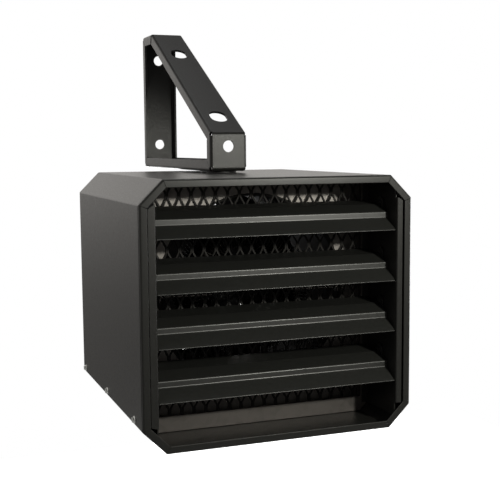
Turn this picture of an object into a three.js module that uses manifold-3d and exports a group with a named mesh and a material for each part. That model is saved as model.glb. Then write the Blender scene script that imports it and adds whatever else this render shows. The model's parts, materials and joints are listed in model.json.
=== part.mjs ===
// Electric fan heater that hangs from a bolt under a folded steel wall and ceiling bracket.
// Millimetres, +Z up, the outlet faces -Y. The origin is the centre of the bracket's long
// back plate, on the face that lies against the wall.

import * as THREE from 'three';
import { mergeVertices } from 'three/addons/utils/BufferGeometryUtils.js';
import Module from 'manifold-3d';

const wasm = await Module();
wasm.setup();

// ---------------------------------------------------------------- driving dimensions

const fit = 0.3;                    // gap between pieces that are cut to each other

// cabinet
const cabinetWidth = 330;
const cabinetHeight = 303;
const cabinetDepth = 333;
const cabinetChamfer = 27;
const cabinetSheet = 1.5;
const cabinetBendRadius = 3.5;
const rimWidth = 9;                 // front flange turned in all round the outlet
const rimBendRadius = 2.5;
const rearFlangeWidth = 22;
const lapHeight = 17;               // bottom panel's side flange, inside the side wall
const lapEndInset = 12;
const sideScrewHeight = 5.4;        // screw centre above the side wall's lower edge
const sideScrewFrontInset = 39;
const sideScrewMiddleDepth = 180;
const sideScrewRearInset = 15;
const sideScrewShank = 4;
const sideScrewHead = 8.5;
const sideScrewHeadHeight = 3;
const sideScrewReach = 7;
const lapRearGap = 3;
const lapReach = 8;                 // how far the lap's foot follows the lower chamfer

// bracket
const strapWidth = 50;
const strapThickness = 3;
const strapBendRadius = 5;
const bracketDepth = 336;
const bracketHeight = 203;
const bracketTopLength = 53;
const squarePlateHeight = 49.5;
const bracketFlange = 14.5;
const notchWidth = 1.6;             // slit between neighbouring flanges at each fold
const notchReliefDepth = 1.5;       // the slit starts this far past the strap's inner face
const flangeBendRadius = 3.5;
const braceInset = 0.8;             // brace channel is narrower than the strap, each side
const braceTrimLowerInset = 6;
const braceTrimUpperInset = 8;
const wallHoleDiameter = 15;
const wallHoleInset = 35.5;
const plateHoleDiameter = 15;
const boltInset = 32;               // bolt hole from the bracket's front lower corner
const slotWidth = 23;
const slotLength = 30;
const slotDistances = [46, 249];    // slot centres along the brace from its lower end
const bracketFrontDepth = 180;      // square plate behind the cabinet's front face

// swivel bolt
const boltDiameter = 10;
const boltHeadAcross = 17;
const boltHeadHeight = 6.4;
const flatWasherDiameter = 24;
const flatWasherThickness = 2;
const swivelWasherDiameter = 40;
const swivelWasherThickness = 2.5;
const swivelPlateSize = 84;
const swivelPlateThickness = 2.5;
const nutHeight = 8;
const boltTail = 4;

// louvres and their side channels
const louvreCount = 4;
const topPivotInset = 34;           // top pivot below the cabinet's top
const bottomPivotInset = 87.8;      // bottom pivot above the cabinet's underside
const pivotDepth = 40;
const louvreSheet = 1.2;
const rearBladeReach = 35;
const rearBladeRise = 0.5;
const bladeBendReach = 2;
const bladeBendDrop = 2.5;
const stripSetback = 18.5;          // front strip ahead of the pivot
const stripTopDrop = 10.5;
const stripHeight = 7.2;
const lipReach = 37;
const lipDrop = 30.5;
const hemLength = 4;
const earRadius = 7;
const earFrontDrop = 6.5;
const earRearDrop = 2.9;
const louvreEndClearance = 1.2;
const pinDiameter = 3;
const pinHeadDiameter = 5;
const pinHeadHeight = 1.4;
const pinTail = 1.5;
const channelSideInset = 18.5;      // inner face of each channel from the cabinet's side
const channelSheet = 1.5;
const channelRecess = 0.6;
const channelRimGap = 1.4;
const channelEndInset = 12.5;

// outlet frame and expanded metal guard
const frameFace = 77;               // front face of the outlet frame behind the rim
const frameSheet = 1.2;
const frameSideLip = 8.5;           // frame's face from the channel wall to the opening
const frameTopInset = 12.5;         // opening below the cabinet's top
const frameBottomInset = 20.5;      // opening above the cabinet's underside
const frameFlangeInset = 5.5;       // frame's upper flange below the cabinet's top
const frameDepth = 21;
const guardThickness = 1.5;
const guardMargin = 4;              // guard's edge behind the frame's front flange
const meshShortWay = 15;
const meshLongWay = 32;
const meshStrand = 2.4;
const meshRowOffset = 2;

// outlet shroud: square plate with a drum behind its round opening
const airwayHeight = 8;             // fan, drum and intake axis above the cabinet's middle
const shroudSheet = 1.2;
const shroudMargin = 1;
const drumMargin = 33.5;            // drum wall inside the cabinet's nearest side
const shroudLip = 4;                // plate's opening is larger by this than the drum
const drumTail = 18;                // drum's end behind the fan's middle plane
const drumSides = 28;

// heating elements
const elementCount = 3;
const elementTube = 9;
const finDiameter = 26;
const finThickness = 1.2;
const finsPerElement = 9;
const elementRingInset = 50;        // ring's radius less than the drum's
const elementPitch = 29;
const firstElementDepth = 19;       // behind the shroud plate
const elementGapAngle = 40;         // degrees left open for the two ends
const elementSides = 5;
const supportWidth = 12;
const supportThickness = 1.5;
const supportReach = 6;
const supportMargin = 4;

// fan and motor
const fanTipGap = 10;
const hubRadius = 30;
const hubLength = 24;
const bladeCount = 5;
const bladeThickness = 1.6;
const bladeRootWidth = 52;
const bladeTipWidth = 92;
const bladePitchRoot = 38;
const bladePitchTip = 22;
const bladeCamber = 0.11;
const bladeRootOverlap = 4;
const firstBladeAngle = 60;         // degrees from +X towards +Z
const bladeTipRounding = 8;
const fanDepth = 220;               // fan's middle plane behind the front face
const shaftDiameter = 8;
const shaftNose = 4;
const shaftSocket = 14;             // depth of the motor's shaft hole
const shaftEndGap = 0.5;
const motorDiameter = 92;
const motorRearInset = 13;          // motor's rear face ahead of the cabinet's rear
const motorBell = 10;
const motorGap = 14;                // fan hub to motor face
const bossDiameter = 30;
const bossLength = 6;

// rear panel and guard
const intakeStep = 2;               // intake opening's radius less than the drum's
const rearGuardWire = 3;
const rearGuardRings = 4;
const rearGuardDome = 7;
const rearGuardArms = 4;
const rearGuardMargin = 6;
const rearGuardRingInset = 4;
const rearGuardCentre = 26;
const rearGuardArmThickness = 2.4;
const motorStrapWidth = 34;
const motorStrapThickness = 2.5;
const motorStrapEndInset = 10;
const motorStrapStep = 4;
const motorStrapRamp = 10;

// wiring parts inside the cabinet
const terminalBlockSize = [58, 34, 24];
const terminalBlockInset = [83, 43];    // block's middle from the right side and the rear
const terminalWall = 1.5;
const contactorSize = [46, 62, 54];
const contactorInset = [31.6, 61];      // contactor's left side, and its middle from the rear
const contactorStep = [4, 12];
const limitSwitchDiameter = 25;
const limitSwitchHeight = 13;
const limitSwitchInset = [59, 45.5];    // from the right side and the top
const limitSwitchBase = [34, 18];
const bushingHole = 22;
const bushingFlange = 29;
const bushingFlangeThickness = 2.5;
const bushingWall = 3;
const bushingDepth = 5;
const bushingInset = [47, 39.5];        // from the right side and the underside

// ---------------------------------------------------------------- derived places

const halfWidth = cabinetWidth / 2;
const halfHeight = cabinetHeight / 2;
const sideScrewDepths = [sideScrewFrontInset, sideScrewMiddleDepth, cabinetDepth - sideScrewRearInset];
const topPivotHeight = halfHeight - topPivotInset;
const louvrePitch = (cabinetHeight - topPivotInset - bottomPivotInset) / (louvreCount - 1);
const channelWallOffset = halfWidth - channelSideInset;
const channelFlangeEdge = halfWidth - rimWidth - channelRimGap;
const channelHalfHeight = halfHeight - channelEndInset;
const frameHalfOpening = channelWallOffset - frameSideLip;
const frameTopOpening = halfHeight - frameTopInset;
const frameBottomOpening = -(halfHeight - frameBottomInset);
const frameFlangeTop = halfHeight - frameFlangeInset;
const drumRadius = Math.min(halfWidth, halfHeight) - drumMargin;
const elementRingRadius = drumRadius - elementRingInset;
const fanRadius = drumRadius - fanTipGap;
const intakeRadius = drumRadius - intakeStep;
const bushingPlace = [halfWidth - bushingInset[0], -(halfHeight - bushingInset[1])];
const wallToFront = bracketDepth + bracketFrontDepth;
const bracketBase = halfHeight + swivelWasherThickness;
const bracketTop = bracketBase + bracketHeight;
const bracketMiddle = bracketBase + bracketHeight / 2;
const bracketFront = bracketFrontDepth;
const bracketBack = bracketFront + bracketDepth;
const boltDepth = bracketFront + boltInset;
const sideEdge = -(halfHeight - cabinetChamfer);
const shroudFace = frameFace + frameDepth;
const drumEnd = fanDepth + drumTail;
const guardFace = frameFace + frameSheet;
const motorFace = fanDepth + hubLength / 2 + motorGap;
const motorEnd = cabinetDepth - motorRearInset;

// ---------------------------------------------------------------- geometry helpers

function closedForm(geometry) {
  const bare = geometry.clone();
  bare.deleteAttribute('normal');
  bare.deleteAttribute('uv');
  const merged = mergeVertices(bare, 1e-4);
  const source = merged.index.array;
  const kept = [];
  for (let i = 0; i < source.length; i += 3) {
    const [a, b, c] = [source[i], source[i + 1], source[i + 2]];
    if (a !== b && b !== c && a !== c) kept.push(a, b, c);
  }
  merged.setIndex(kept);
  return merged;
}

function toSolid(geometry) {
  const merged = closedForm(geometry);
  return new wasm.Manifold(new wasm.Mesh({
    numProp: 3,
    vertProperties: new Float32Array(merged.attributes.position.array),
    triVerts: new Uint32Array(merged.index.array),
  }));
}

function toGeometry(solid) {
  const mesh = solid.getMesh();
  const geometry = new THREE.BufferGeometry();
  geometry.setAttribute('position', new THREE.BufferAttribute(mesh.vertProperties, 3));
  geometry.setIndex(new THREE.BufferAttribute(mesh.triVerts, 1));
  geometry.computeVertexNormals();
  return geometry;
}

function outwardFacing(geometry) {
  const p = geometry.attributes.position;
  const index = geometry.index.array;
  const [a, b, c] = [new THREE.Vector3(), new THREE.Vector3(), new THREE.Vector3()];
  let volume = 0;
  for (let i = 0; i < index.length; i += 3) {
    a.fromBufferAttribute(p, index[i]);
    b.fromBufferAttribute(p, index[i + 1]);
    c.fromBufferAttribute(p, index[i + 2]);
    volume += a.dot(b.cross(c));
  }
  if (volume < 0) {
    for (let i = 0; i < index.length; i += 3) {
      [index[i + 1], index[i + 2]] = [index[i + 2], index[i + 1]];
    }
  }
  return geometry;
}

const join = (...solids) => solids.reduce((a, b) => a.add(b));
const onAirway = (solid) => solid.translate([0, 0, airwayHeight]);
const cut = (solid, ...tools) => tools.reduce((a, b) => a.subtract(b), solid);

function shapeOf(points) {
  return new THREE.Shape(points.map(([a, b]) => new THREE.Vector2(a, b)));
}

// an XZ outline made solid from y0 to y1
function prismY(shape, y0, y1, curveSegments = 12) {
  const g = new THREE.ExtrudeGeometry(shape, { depth: y1 - y0, bevelEnabled: false, curveSegments });
  g.rotateX(Math.PI / 2);
  g.translate(0, y1, 0);
  return toSolid(g);
}

// a YZ outline made solid from x0 to x1
function prismX(shape, x0, x1, curveSegments = 12) {
  const g = new THREE.ExtrudeGeometry(shape, { depth: x1 - x0, bevelEnabled: false, curveSegments });
  g.applyMatrix4(new THREE.Matrix4().set(0, 0, 1, x0, 1, 0, 0, 0, 0, 1, 0, 0, 0, 0, 0, 1));
  return toSolid(g);
}

// an XY outline made solid from z0 to z1
function prismZ(shape, z0, z1, curveSegments = 12) {
  const g = new THREE.ExtrudeGeometry(shape, { depth: z1 - z0, bevelEnabled: false, curveSegments });
  g.translate(0, 0, z0);
  return toSolid(g);
}

function block(x0, x1, y0, y1, z0, z1) {
  const g = new THREE.BoxGeometry(x1 - x0, y1 - y0, z1 - z0);
  g.translate((x0 + x1) / 2, (y0 + y1) / 2, (z0 + z1) / 2);
  return toSolid(g);
}

// round bar along X, Y or Z between two stations
function bar(axis, radius, from, to, [u, v], sides = 12) {
  const g = new THREE.CylinderGeometry(radius, radius, to - from, sides);
  const middle = (from + to) / 2;
  if (axis === 'x') g.rotateZ(-Math.PI / 2).translate(middle, u, v);
  if (axis === 'y') g.translate(u, middle, v);
  if (axis === 'z') g.rotateX(Math.PI / 2).translate(u, v, middle);
  return toSolid(g);
}

function circleShape(x, y, radius, clockwise = false) {
  const path = new THREE.Shape();
  path.absarc(x, y, radius, 0, Math.PI * 2, clockwise);
  return path;
}

// corner of a straight-sided path after every side moves inwards by d
function insetCorner(before, corner, after, d) {
  const u = corner.clone().sub(before).normalize();
  const v = after.clone().sub(corner).normalize();
  const nu = new THREE.Vector2(-u.y, u.x);
  const nv = new THREE.Vector2(-v.y, v.x);
  const k = d / (1 + nu.dot(nv));
  return corner.clone().add(nu.add(nv).multiplyScalar(k));
}

// Bent sheet metal: a section of points (inset, station) carried round a path whose corners
// are bends of one radius. Insets deeper than the bend meet at a mitre, as notched flanges do.
// The path runs anticlockwise, and an open path ends at its first and last mitres.
function bentSheet(path, section, radius, segments, open, place) {
  const corners = path.map(([a, b]) => new THREE.Vector2(a, b));
  const count = corners.length;
  const isBend = (i) => !open || (i > 1 && i < count - 2);
  const line = (d) => {
    const points = [];
    const first = open ? 1 : 0;
    const last = open ? count - 2 : count - 1;
    for (let i = first; i <= last; i++) {
      const before = corners[(i - 1 + count) % count];
      const after = corners[(i + 1) % count];
      const at = insetCorner(before, corners[i], after, Math.max(d, isBend(i) ? radius : d));
      if (!isBend(i)) {
        points.push(at);
        continue;
      }
      const u = corners[i].clone().sub(before).normalize();
      const v = after.clone().sub(corners[i]).normalize();
      const start = Math.atan2(-u.x, u.y);
      let turn = Math.atan2(-v.x, v.y) - start;
      if (turn < 0) turn += Math.PI * 2;
      const reach = Math.max(radius - d, 0);
      for (let k = 0; k <= segments; k++) {
        const angle = start + (turn * k) / segments;
        points.push(new THREE.Vector2(at.x + reach * Math.cos(angle), at.y + reach * Math.sin(angle)));
      }
    }
    return points;
  };
  const rows = section.map(([d, station]) => line(d).map((p) => place(p.x, p.y, station)));
  const stations = rows[0].length;
  const positions = rows.flat().flatMap((p) => [p.x, p.y, p.z]);
  const index = [];
  const spans = open ? stations - 1 : stations;
  for (let j = 0; j < rows.length; j++) {
    const next = (j + 1) % rows.length;
    for (let i = 0; i < spans; i++) {
      const i2 = (i + 1) % stations;
      const [a, b] = [j * stations + i, j * stations + i2];
      const [c, d] = [next * stations + i2, next * stations + i];
      index.push(a, b, c, a, c, d);
    }
  }
  if (open) {
    const outline = section.map(([a, b]) => new THREE.Vector2(a, b));
    for (const face of THREE.ShapeUtils.triangulateShape(outline, [])) {
      const [a, b, c] = face.map((j) => j * stations);
      index.push(a, b, c);
      const [a2, b2, c2] = face.map((j) => j * stations + stations - 1);
      index.push(a2, c2, b2);
    }
  }
  const geometry = new THREE.BufferGeometry();
  geometry.setAttribute('position', new THREE.Float32BufferAttribute(positions, 3));
  geometry.setIndex(index);
  return toSolid(outwardFacing(closedForm(geometry)));
}

const onY = (x, z, y) => new THREE.Vector3(x, y, z);
const onX = (y, z, x) => new THREE.Vector3(x, y, z);

// quarter-round run of section points from one direction to another, in degrees
function arcPoints(cx, cy, radius, from, to, segments) {
  const points = [];
  for (let k = 0; k <= segments; k++) {
    const angle = THREE.MathUtils.degToRad(from + ((to - from) * k) / segments);
    points.push([cx + radius * Math.cos(angle), cy + radius * Math.sin(angle)]);
  }
  return points;
}

// outline of a strip of sheet that follows a line of points, thickened to its left
function stripShape(points, thickness) {
  const line = points.map(([a, b]) => new THREE.Vector2(a, b));
  const offset = line.map((p, i) => {
    const before = i > 0 ? line[i - 1] : p.clone().sub(line[1]).add(p);
    const after = i < line.length - 1 ? line[i + 1] : p.clone().sub(line[i - 1]).add(p);
    return insetCorner(before, p, after, thickness);
  });
  return new THREE.Shape([...line, ...offset.reverse()]);
}

// ---------------------------------------------------------------- scene graph

const model = new THREE.Group();
const heater = new THREE.Group();
heater.position.set(0, -wallToFront, -bracketMiddle);
model.add(heater);

const finish = {
  blackCoat: [0x2b2c2a, 0.5, 0.3],
  blackTrim: [0x232422, 0.45, 0.3],
  galvanised: [0x9b9a94, 0.4, 0.8],
  zinc: [0xb9b8b2, 0.35, 0.9],
  darkSheath: [0x34302c, 0.6, 0.5],
  meshSteel: [0x4a3f36, 0.55, 0.6],
  aluminium: [0xa9abac, 0.4, 0.8],
  motorShell: [0x3a3c3e, 0.5, 0.4],
  plastic: [0x1d1e20, 0.6, 0.0],
  terminalPlastic: [0xd6d2c4, 0.6, 0.0],
};

function addPiece(name, solid, [color, roughness, metalness]) {
  const material = new THREE.MeshStandardMaterial({ color, roughness, metalness });
  const mesh = new THREE.Mesh(toGeometry(solid), material);
  mesh.name = name;
  heater.add(mesh);
  return mesh;
}

// ---------------------------------------------------------------- cabinet

function octagon(inset = 0) {
  const [w, h] = [halfWidth, halfHeight];
  const c = cabinetChamfer;
  const corners = [
    [-w, -h + c], [-w + c, -h], [w - c, -h], [w, -h + c],
    [w, h - c], [w - c, h], [-w + c, h], [-w, h - c],
  ].map(([a, b]) => new THREE.Vector2(a, b));
  return corners.map((p, i) => {
    const q = insetCorner(corners[(i + 7) % 8], p, corners[(i + 1) % 8], inset);
    return [q.x, q.y];
  });
}

// section of a cabinet wall with its front flange: (inset from the outside, depth)
function rimSection(rear) {
  const t = cabinetSheet;
  const r = rimBendRadius;
  return [
    [0, rear],
    ...arcPoints(r, r, r, 180, 270, 3),
    [rimWidth, 0],
    [rimWidth, t],
    [t, t],
    [t, rear],
  ];
}

const screwHeight = sideEdge + sideScrewHeight;

function sideScrewHoles(clearance) {
  return sideScrewDepths.map((y) =>
    bar('x', sideScrewShank / 2 + clearance, -halfWidth - 5, halfWidth + 5, [y, screwHeight], 6));
}

function cabinetWrapper() {
  const o = octagon();
  const path = [o[2], o[3], o[4], o[5], o[6], o[7], o[0], o[1]];
  const shell = bentSheet(path, rimSection(cabinetDepth), cabinetBendRadius, 2, true, onY);
  const boltHole = bar('z', boltDiameter / 2 + fit, halfHeight - 5, halfHeight + 5, [0, boltDepth], 10);
  return cut(shell, boltHole, ...sideScrewHoles(fit));
}

function bottomPanel() {
  const o = octagon();
  const gap = fit / Math.SQRT1_2;
  const left = [o[0][0] + gap, o[0][1] - gap];
  const right = [o[3][0] - gap, o[3][1] - gap];
  const path = [[left[0], left[1] + 50], left, o[1], o[2], right, [right[0], right[1] + 50]];
  const shell = bentSheet(path, rimSection(cabinetDepth), cabinetBendRadius, 2, true, onY);
  const t = cabinetSheet;
  const lapOut = halfWidth - t - fit;
  const lapIn = lapOut - t;
  const reach = lapReach;
  const laps = [-1, 1].map((side) => {
    const outline = [
      [side * lapOut, sideEdge + lapHeight],
      [side * lapOut, sideEdge - fit * 2],
      [side * (lapOut - reach), sideEdge - fit * 2 - reach],
      [side * (lapIn - reach), sideEdge - reach + t],
      [side * lapIn, sideEdge + t],
      [side * lapIn, sideEdge + lapHeight],
    ];
    return prismY(shapeOf(outline), lapEndInset, cabinetDepth - rearFlangeWidth - lapRearGap);
  });
  return cut(join(shell, ...laps), ...sideScrewHoles(fit));
}

// flat-backed sheet panel that closes the rear, its edge flanges turned forward inside the walls
function rearPanel() {
  const t = cabinetSheet;
  const edge = t + fit;
  const path = octagon(edge);
  const section = [
    [0, cabinetDepth - rearFlangeWidth],
    [0, cabinetDepth],
    [t * 2, cabinetDepth],
    [t * 2, cabinetDepth - t],
    [t, cabinetDepth - t],
    [t, cabinetDepth - rearFlangeWidth],
  ];
  const rim = bentSheet(path, section, cabinetBendRadius - edge, 1, false, onY);
  const plate = shapeOf(octagon(edge + t));
  plate.holes.push(circleShape(0, airwayHeight, intakeRadius, true));
  plate.holes.push(circleShape(...bushingPlace, bushingHole / 2, true));
  const back = prismY(plate, cabinetDepth - t, cabinetDepth, 15);
  return cut(join(rim, back), ...sideScrewHoles(fit));
}

function sideScrew(side, depth) {
  const wall = side * halfWidth;
  const out = wall + side * sideScrewHeadHeight;
  const inner = wall - side * sideScrewReach;
  const head = bar('x', sideScrewHead / 2, Math.min(wall, out), Math.max(wall, out), [depth, screwHeight], 6);
  const shank = bar('x', sideScrewShank / 2, Math.min(out, inner), Math.max(out, inner),
    [depth, screwHeight], 6);
  return join(head, shank);
}

addPiece('cabinet_wrapper', cabinetWrapper(), finish.blackCoat);
addPiece('bottom_panel', bottomPanel(), finish.blackCoat);
addPiece('rear_panel', rearPanel(), finish.blackCoat);
for (const [side, label] of [[-1, 'left'], [1, 'right']]) {
  sideScrewDepths.forEach((depth, i) => {
    addPiece(`side_screw_${label}_${i + 1}`, sideScrew(side, depth), finish.zinc);
  });
}

// ---------------------------------------------------------------- bracket and swivel

function mountingBracket() {
  const [y0, y1, z0, z1] = [bracketFront, bracketBack, bracketBase, bracketTop];
  const t = strapThickness;
  const h = strapWidth / 2;
  const r = flangeBendRadius;
  const loop = [
    [y0, z0],
    [y1, z0],
    [y1, z1],
    [y1 - bracketTopLength, z1],
    [y0, z0 + squarePlateHeight],
  ];
  const channel = (half) => [
    [bracketFlange, -half],
    ...arcPoints(r, -half + r, r, -90, -180, 2),
    ...arcPoints(r, half - r, r, 180, 90, 2),
    [bracketFlange, half],
    [bracketFlange, half - t],
    [t, half - t],
    [t, -half + t],
    [bracketFlange, -half + t],
  ];
  const ring = bentSheet(loop, channel(h), strapBendRadius, 2, false, onX);
  const corners = loop.map(([a, b]) => new THREE.Vector2(a, b));
  const notches = corners.map((corner, i) => {
    const before = corners[(i + 4) % 5];
    const after = corners[(i + 1) % 5];
    const outer = insetCorner(before, corner, after, t + notchReliefDepth);
    const inner = insetCorner(before, corner, after, bracketFlange + 4);
    const along = inner.clone().sub(outer).normalize().multiplyScalar(notchWidth / 2);
    const across = new THREE.Vector2(-along.y, along.x);
    const outline = [
      outer.clone().add(across), outer.clone().sub(across),
      inner.clone().sub(across), inner.clone().add(across),
    ].map((p) => [p.x, p.y]);
    return prismX(shapeOf(outline), -h - 1, h + 1);
  });

  // the brace is a narrower channel than the rest: its edges are trimmed
  const lower = corners[4];
  const upper = corners[3];
  const slope = upper.clone().sub(lower);
  const length = slope.length();
  slope.normalize();
  const normal = new THREE.Vector2(-slope.y, slope.x);
  const onBrace = (s, n) => {
    const p = lower.clone().addScaledVector(slope, s).addScaledVector(normal, n);
    return [p.x, p.y];
  };

  // screwdriver slots through the brace
  const frame = new THREE.Matrix4().set(
    1, 0, 0, 0,
    0, slope.x, normal.x, lower.x,
    0, slope.y, normal.y, lower.y,
    0, 0, 0, 1,
  );
  const slots = slotDistances.map((station) => {
    const shape = new THREE.Shape();
    const a = slotWidth / 2;
    const b = slotLength / 2 - a;
    shape.absarc(0, station + b, a, 0, Math.PI, false);
    shape.absarc(0, station - b, a, Math.PI, Math.PI * 2, false);
    const g = new THREE.ExtrudeGeometry(shape, { depth: t * 4, bevelEnabled: false, curveSegments: 5 });
    g.translate(0, 0, -t * 2);
    g.applyMatrix4(frame);
    return toSolid(g);
  });

  const trims = [-1, 1].map((side) => {
    const outline = [
      onBrace(braceTrimLowerInset, t),
      onBrace(braceTrimLowerInset, -bracketFlange - t),
      onBrace(length - braceTrimUpperInset, -bracketFlange - t),
      onBrace(length - braceTrimUpperInset, t),
    ];
    const edge = side * h;
    const keep = side * (h - braceInset);
    return prismX(shapeOf(outline), Math.min(edge + side, keep), Math.max(edge + side, keep));
  });

  const wallHoles = [z0 + wallHoleInset, z1 - wallHoleInset].map((z) =>
    bar('y', wallHoleDiameter / 2, y1 - t - 3, y1 + 3, [0, z], 12));
  const plateHole = bar('y', plateHoleDiameter / 2, y0 - 3, y0 + t + 3, [0, z0 + boltInset], 12);
  const boltHole = bar('z', boltDiameter / 2 + fit, z0 - 3, z0 + t + 3, [0, boltDepth], 10);
  return cut(ring, ...notches, ...slots, ...trims, ...wallHoles, plateHole, boltHole);
}

function washer(diameter, z0, z1, sides) {
  const shape = circleShape(0, boltDepth, diameter / 2);
  shape.holes.push(circleShape(0, boltDepth, boltDiameter / 2 + fit, true));
  return prismZ(shape, z0, z1, sides);
}

const boltWasherBase = bracketBase + strapThickness;
const boltHeadBase = boltWasherBase + flatWasherThickness;
const swivelPlateBase = halfHeight - cabinetSheet - swivelPlateThickness;
const nutTop = swivelPlateBase;

function hexPrism(across, z0, z1) {
  const radius = across / Math.sqrt(3);
  const corners = [];
  for (let k = 0; k < 6; k++) {
    const angle = (k * Math.PI) / 3;
    corners.push([radius * Math.cos(angle), boltDepth + radius * Math.sin(angle)]);
  }
  return prismZ(shapeOf(corners), z0, z1);
}

function pivotBolt() {
  const head = hexPrism(boltHeadAcross, boltHeadBase, boltHeadBase + boltHeadHeight);
  const shank = bar('z', boltDiameter / 2, nutTop - nutHeight - boltTail, boltHeadBase + 1, [0, boltDepth], 10);
  return join(head, shank);
}

function pivotNut() {
  const body = hexPrism(boltHeadAcross, nutTop - nutHeight, nutTop);
  return cut(body, bar('z', boltDiameter / 2 + fit, nutTop - nutHeight - 2, nutTop + 2, [0, boltDepth], 10));
}

function swivelPlate() {
  const h = swivelPlateSize / 2;
  const shape = shapeOf([[-h, boltDepth - h], [h, boltDepth - h], [h, boltDepth + h], [-h, boltDepth + h]]);
  shape.holes.push(circleShape(0, boltDepth, boltDiameter / 2 + fit, true));
  return prismZ(shape, swivelPlateBase, halfHeight - cabinetSheet, 7);
}

addPiece('mounting_bracket', mountingBracket(), finish.blackCoat);
addPiece('bolt_washer', washer(flatWasherDiameter, boltWasherBase, boltHeadBase, 10), finish.zinc);
addPiece('swivel_washer', washer(swivelWasherDiameter, halfHeight, bracketBase, 12), finish.zinc);
addPiece('pivot_bolt', pivotBolt(), finish.zinc);
addPiece('pivot_nut', pivotNut(), finish.zinc);
addPiece('swivel_plate', swivelPlate(), finish.galvanised);

// ---------------------------------------------------------------- louvres

const pivotHeights = Array.from({ length: louvreCount }, (_, i) => topPivotHeight - i * louvrePitch);
const louvreHalf = channelWallOffset - louvreEndClearance;

// one bent blade, its outline measured from the pivot
function louvre(pivotHeight) {
  const at = ([y, z]) => [pivotDepth + y, pivotHeight + z];
  const lipAngle = Math.atan2(lipDrop - stripTopDrop - stripHeight, lipReach - stripSetback);
  const hem = [
    -lipReach + hemLength * Math.cos(lipAngle) + louvreSheet * Math.sin(lipAngle),
    -lipDrop + hemLength * Math.sin(lipAngle) - louvreSheet * Math.cos(lipAngle),
  ];
  const line = [
    [rearBladeReach, rearBladeRise],
    [bladeBendReach, -bladeBendDrop],
    [-stripSetback, -stripTopDrop],
    [-stripSetback, -stripTopDrop - stripHeight],
    [-lipReach, -lipDrop],
  ].map(at);
  const blade = prismX(stripShape(line, louvreSheet), -louvreHalf, louvreHalf);
  const tip = at([-lipReach, -lipDrop]);
  const fold = at(hem);
  const hemLine = [fold, [tip[0] + louvreSheet / 6, tip[1] - louvreSheet * 0.9]];
  const hemStrip = prismX(stripShape(hemLine, -louvreSheet), -louvreHalf, louvreHalf);
  const ears = [-1, 1].map((side) => {
    const outer = side * louvreHalf;
    const inner = side * (louvreHalf - louvreSheet);
    const shape = new THREE.Shape();
    const [y, z] = at([0, 0]);
    shape.absarc(y, z, earRadius, 0, Math.PI, false);
    shape.lineTo(y - earRadius, z - earFrontDrop);
    shape.lineTo(y + earRadius, z - earRearDrop);
    return prismX(shape, Math.min(outer, inner), Math.max(outer, inner), 3);
  });
  const pinHole = bar('x', pinDiameter / 2 + fit, -louvreHalf - 2, louvreHalf + 2, at([0, 0]), 6);
  return cut(join(blade, hemStrip, ...ears), pinHole);
}

// headed pin through the louvre's ear and the channel wall
function louvrePin(side, pivotHeight) {
  const at = [pivotDepth, pivotHeight];
  const ear = side * (louvreHalf - louvreSheet);
  const head = ear - side * pinHeadHeight;
  const end = side * (channelWallOffset + channelSheet + pinTail);
  const cap = bar('x', pinHeadDiameter / 2, Math.min(ear, head), Math.max(ear, head), at, 6);
  const shank = bar('x', pinDiameter / 2, Math.min(head, end), Math.max(head, end), at, 6);
  return join(cap, shank);
}

// wall beside the louvres with a flange turned out behind the rim
function louvreChannel(side) {
  const near = channelWallOffset;
  const far = channelWallOffset + channelSheet;
  const rear = frameFace + frameDepth;
  const wall = block(Math.min(side * near, side * far), Math.max(side * near, side * far),
    channelRecess, rear, -channelHalfHeight, channelHalfHeight);
  const flange = block(Math.min(side * near, side * channelFlangeEdge),
    Math.max(side * near, side * channelFlangeEdge),
    channelRecess, channelRecess + channelSheet, -halfHeight, halfHeight);
  const behindRim = channelRecess + channelSheet + fit;
  const inside = join(
    prismY(shapeOf(octagon(rimWidth + channelRimGap)), -1, behindRim + fit),
    prismY(shapeOf(octagon(cabinetSheet + fit)), behindRim, cabinetDepth),
  );
  const pinHoles = pivotHeights.map((z) =>
    bar('x', pinDiameter / 2 + fit, side * near - 4, side * near + 4, [pivotDepth, z], 6));
  return cut(join(wall, flange).intersect(inside), ...pinHoles);
}

for (const [side, label] of [[-1, 'left'], [1, 'right']]) {
  addPiece(`louvre_channel_${label}`, louvreChannel(side), finish.blackCoat);
}
pivotHeights.forEach((z, i) => {
  addPiece(`louvre_${i + 1}`, louvre(z), finish.blackTrim);
  addPiece(`louvre_pin_left_${i + 1}`, louvrePin(-1, z), finish.zinc);
  addPiece(`louvre_pin_right_${i + 1}`, louvrePin(1, z), finish.zinc);
});

// ---------------------------------------------------------------- outlet frame and guard

const frameHalf = channelWallOffset - fit;
const frameBottom = -(halfHeight - cabinetSheet - fit);

function outletFrame() {
  const t = frameSheet;
  const box = (inset, y0, y1) => {
    const full = block(-frameHalf + inset, frameHalf - inset, y0, y1,
      frameBottom + inset, frameFlangeTop - inset);
    const corners = octagon(cabinetSheet + fit + inset);
    return full.intersect(prismY(shapeOf(corners), y0, y1));
  };
  const tray = cut(box(0, frameFace, frameFace + frameDepth),
    box(t, frameFace + t, frameFace + frameDepth + 1));
  const opening = block(-frameHalfOpening, frameHalfOpening, frameFace - 1, frameFace + t + 1,
    frameBottomOpening, frameTopOpening);
  return cut(tray, opening);
}

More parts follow.
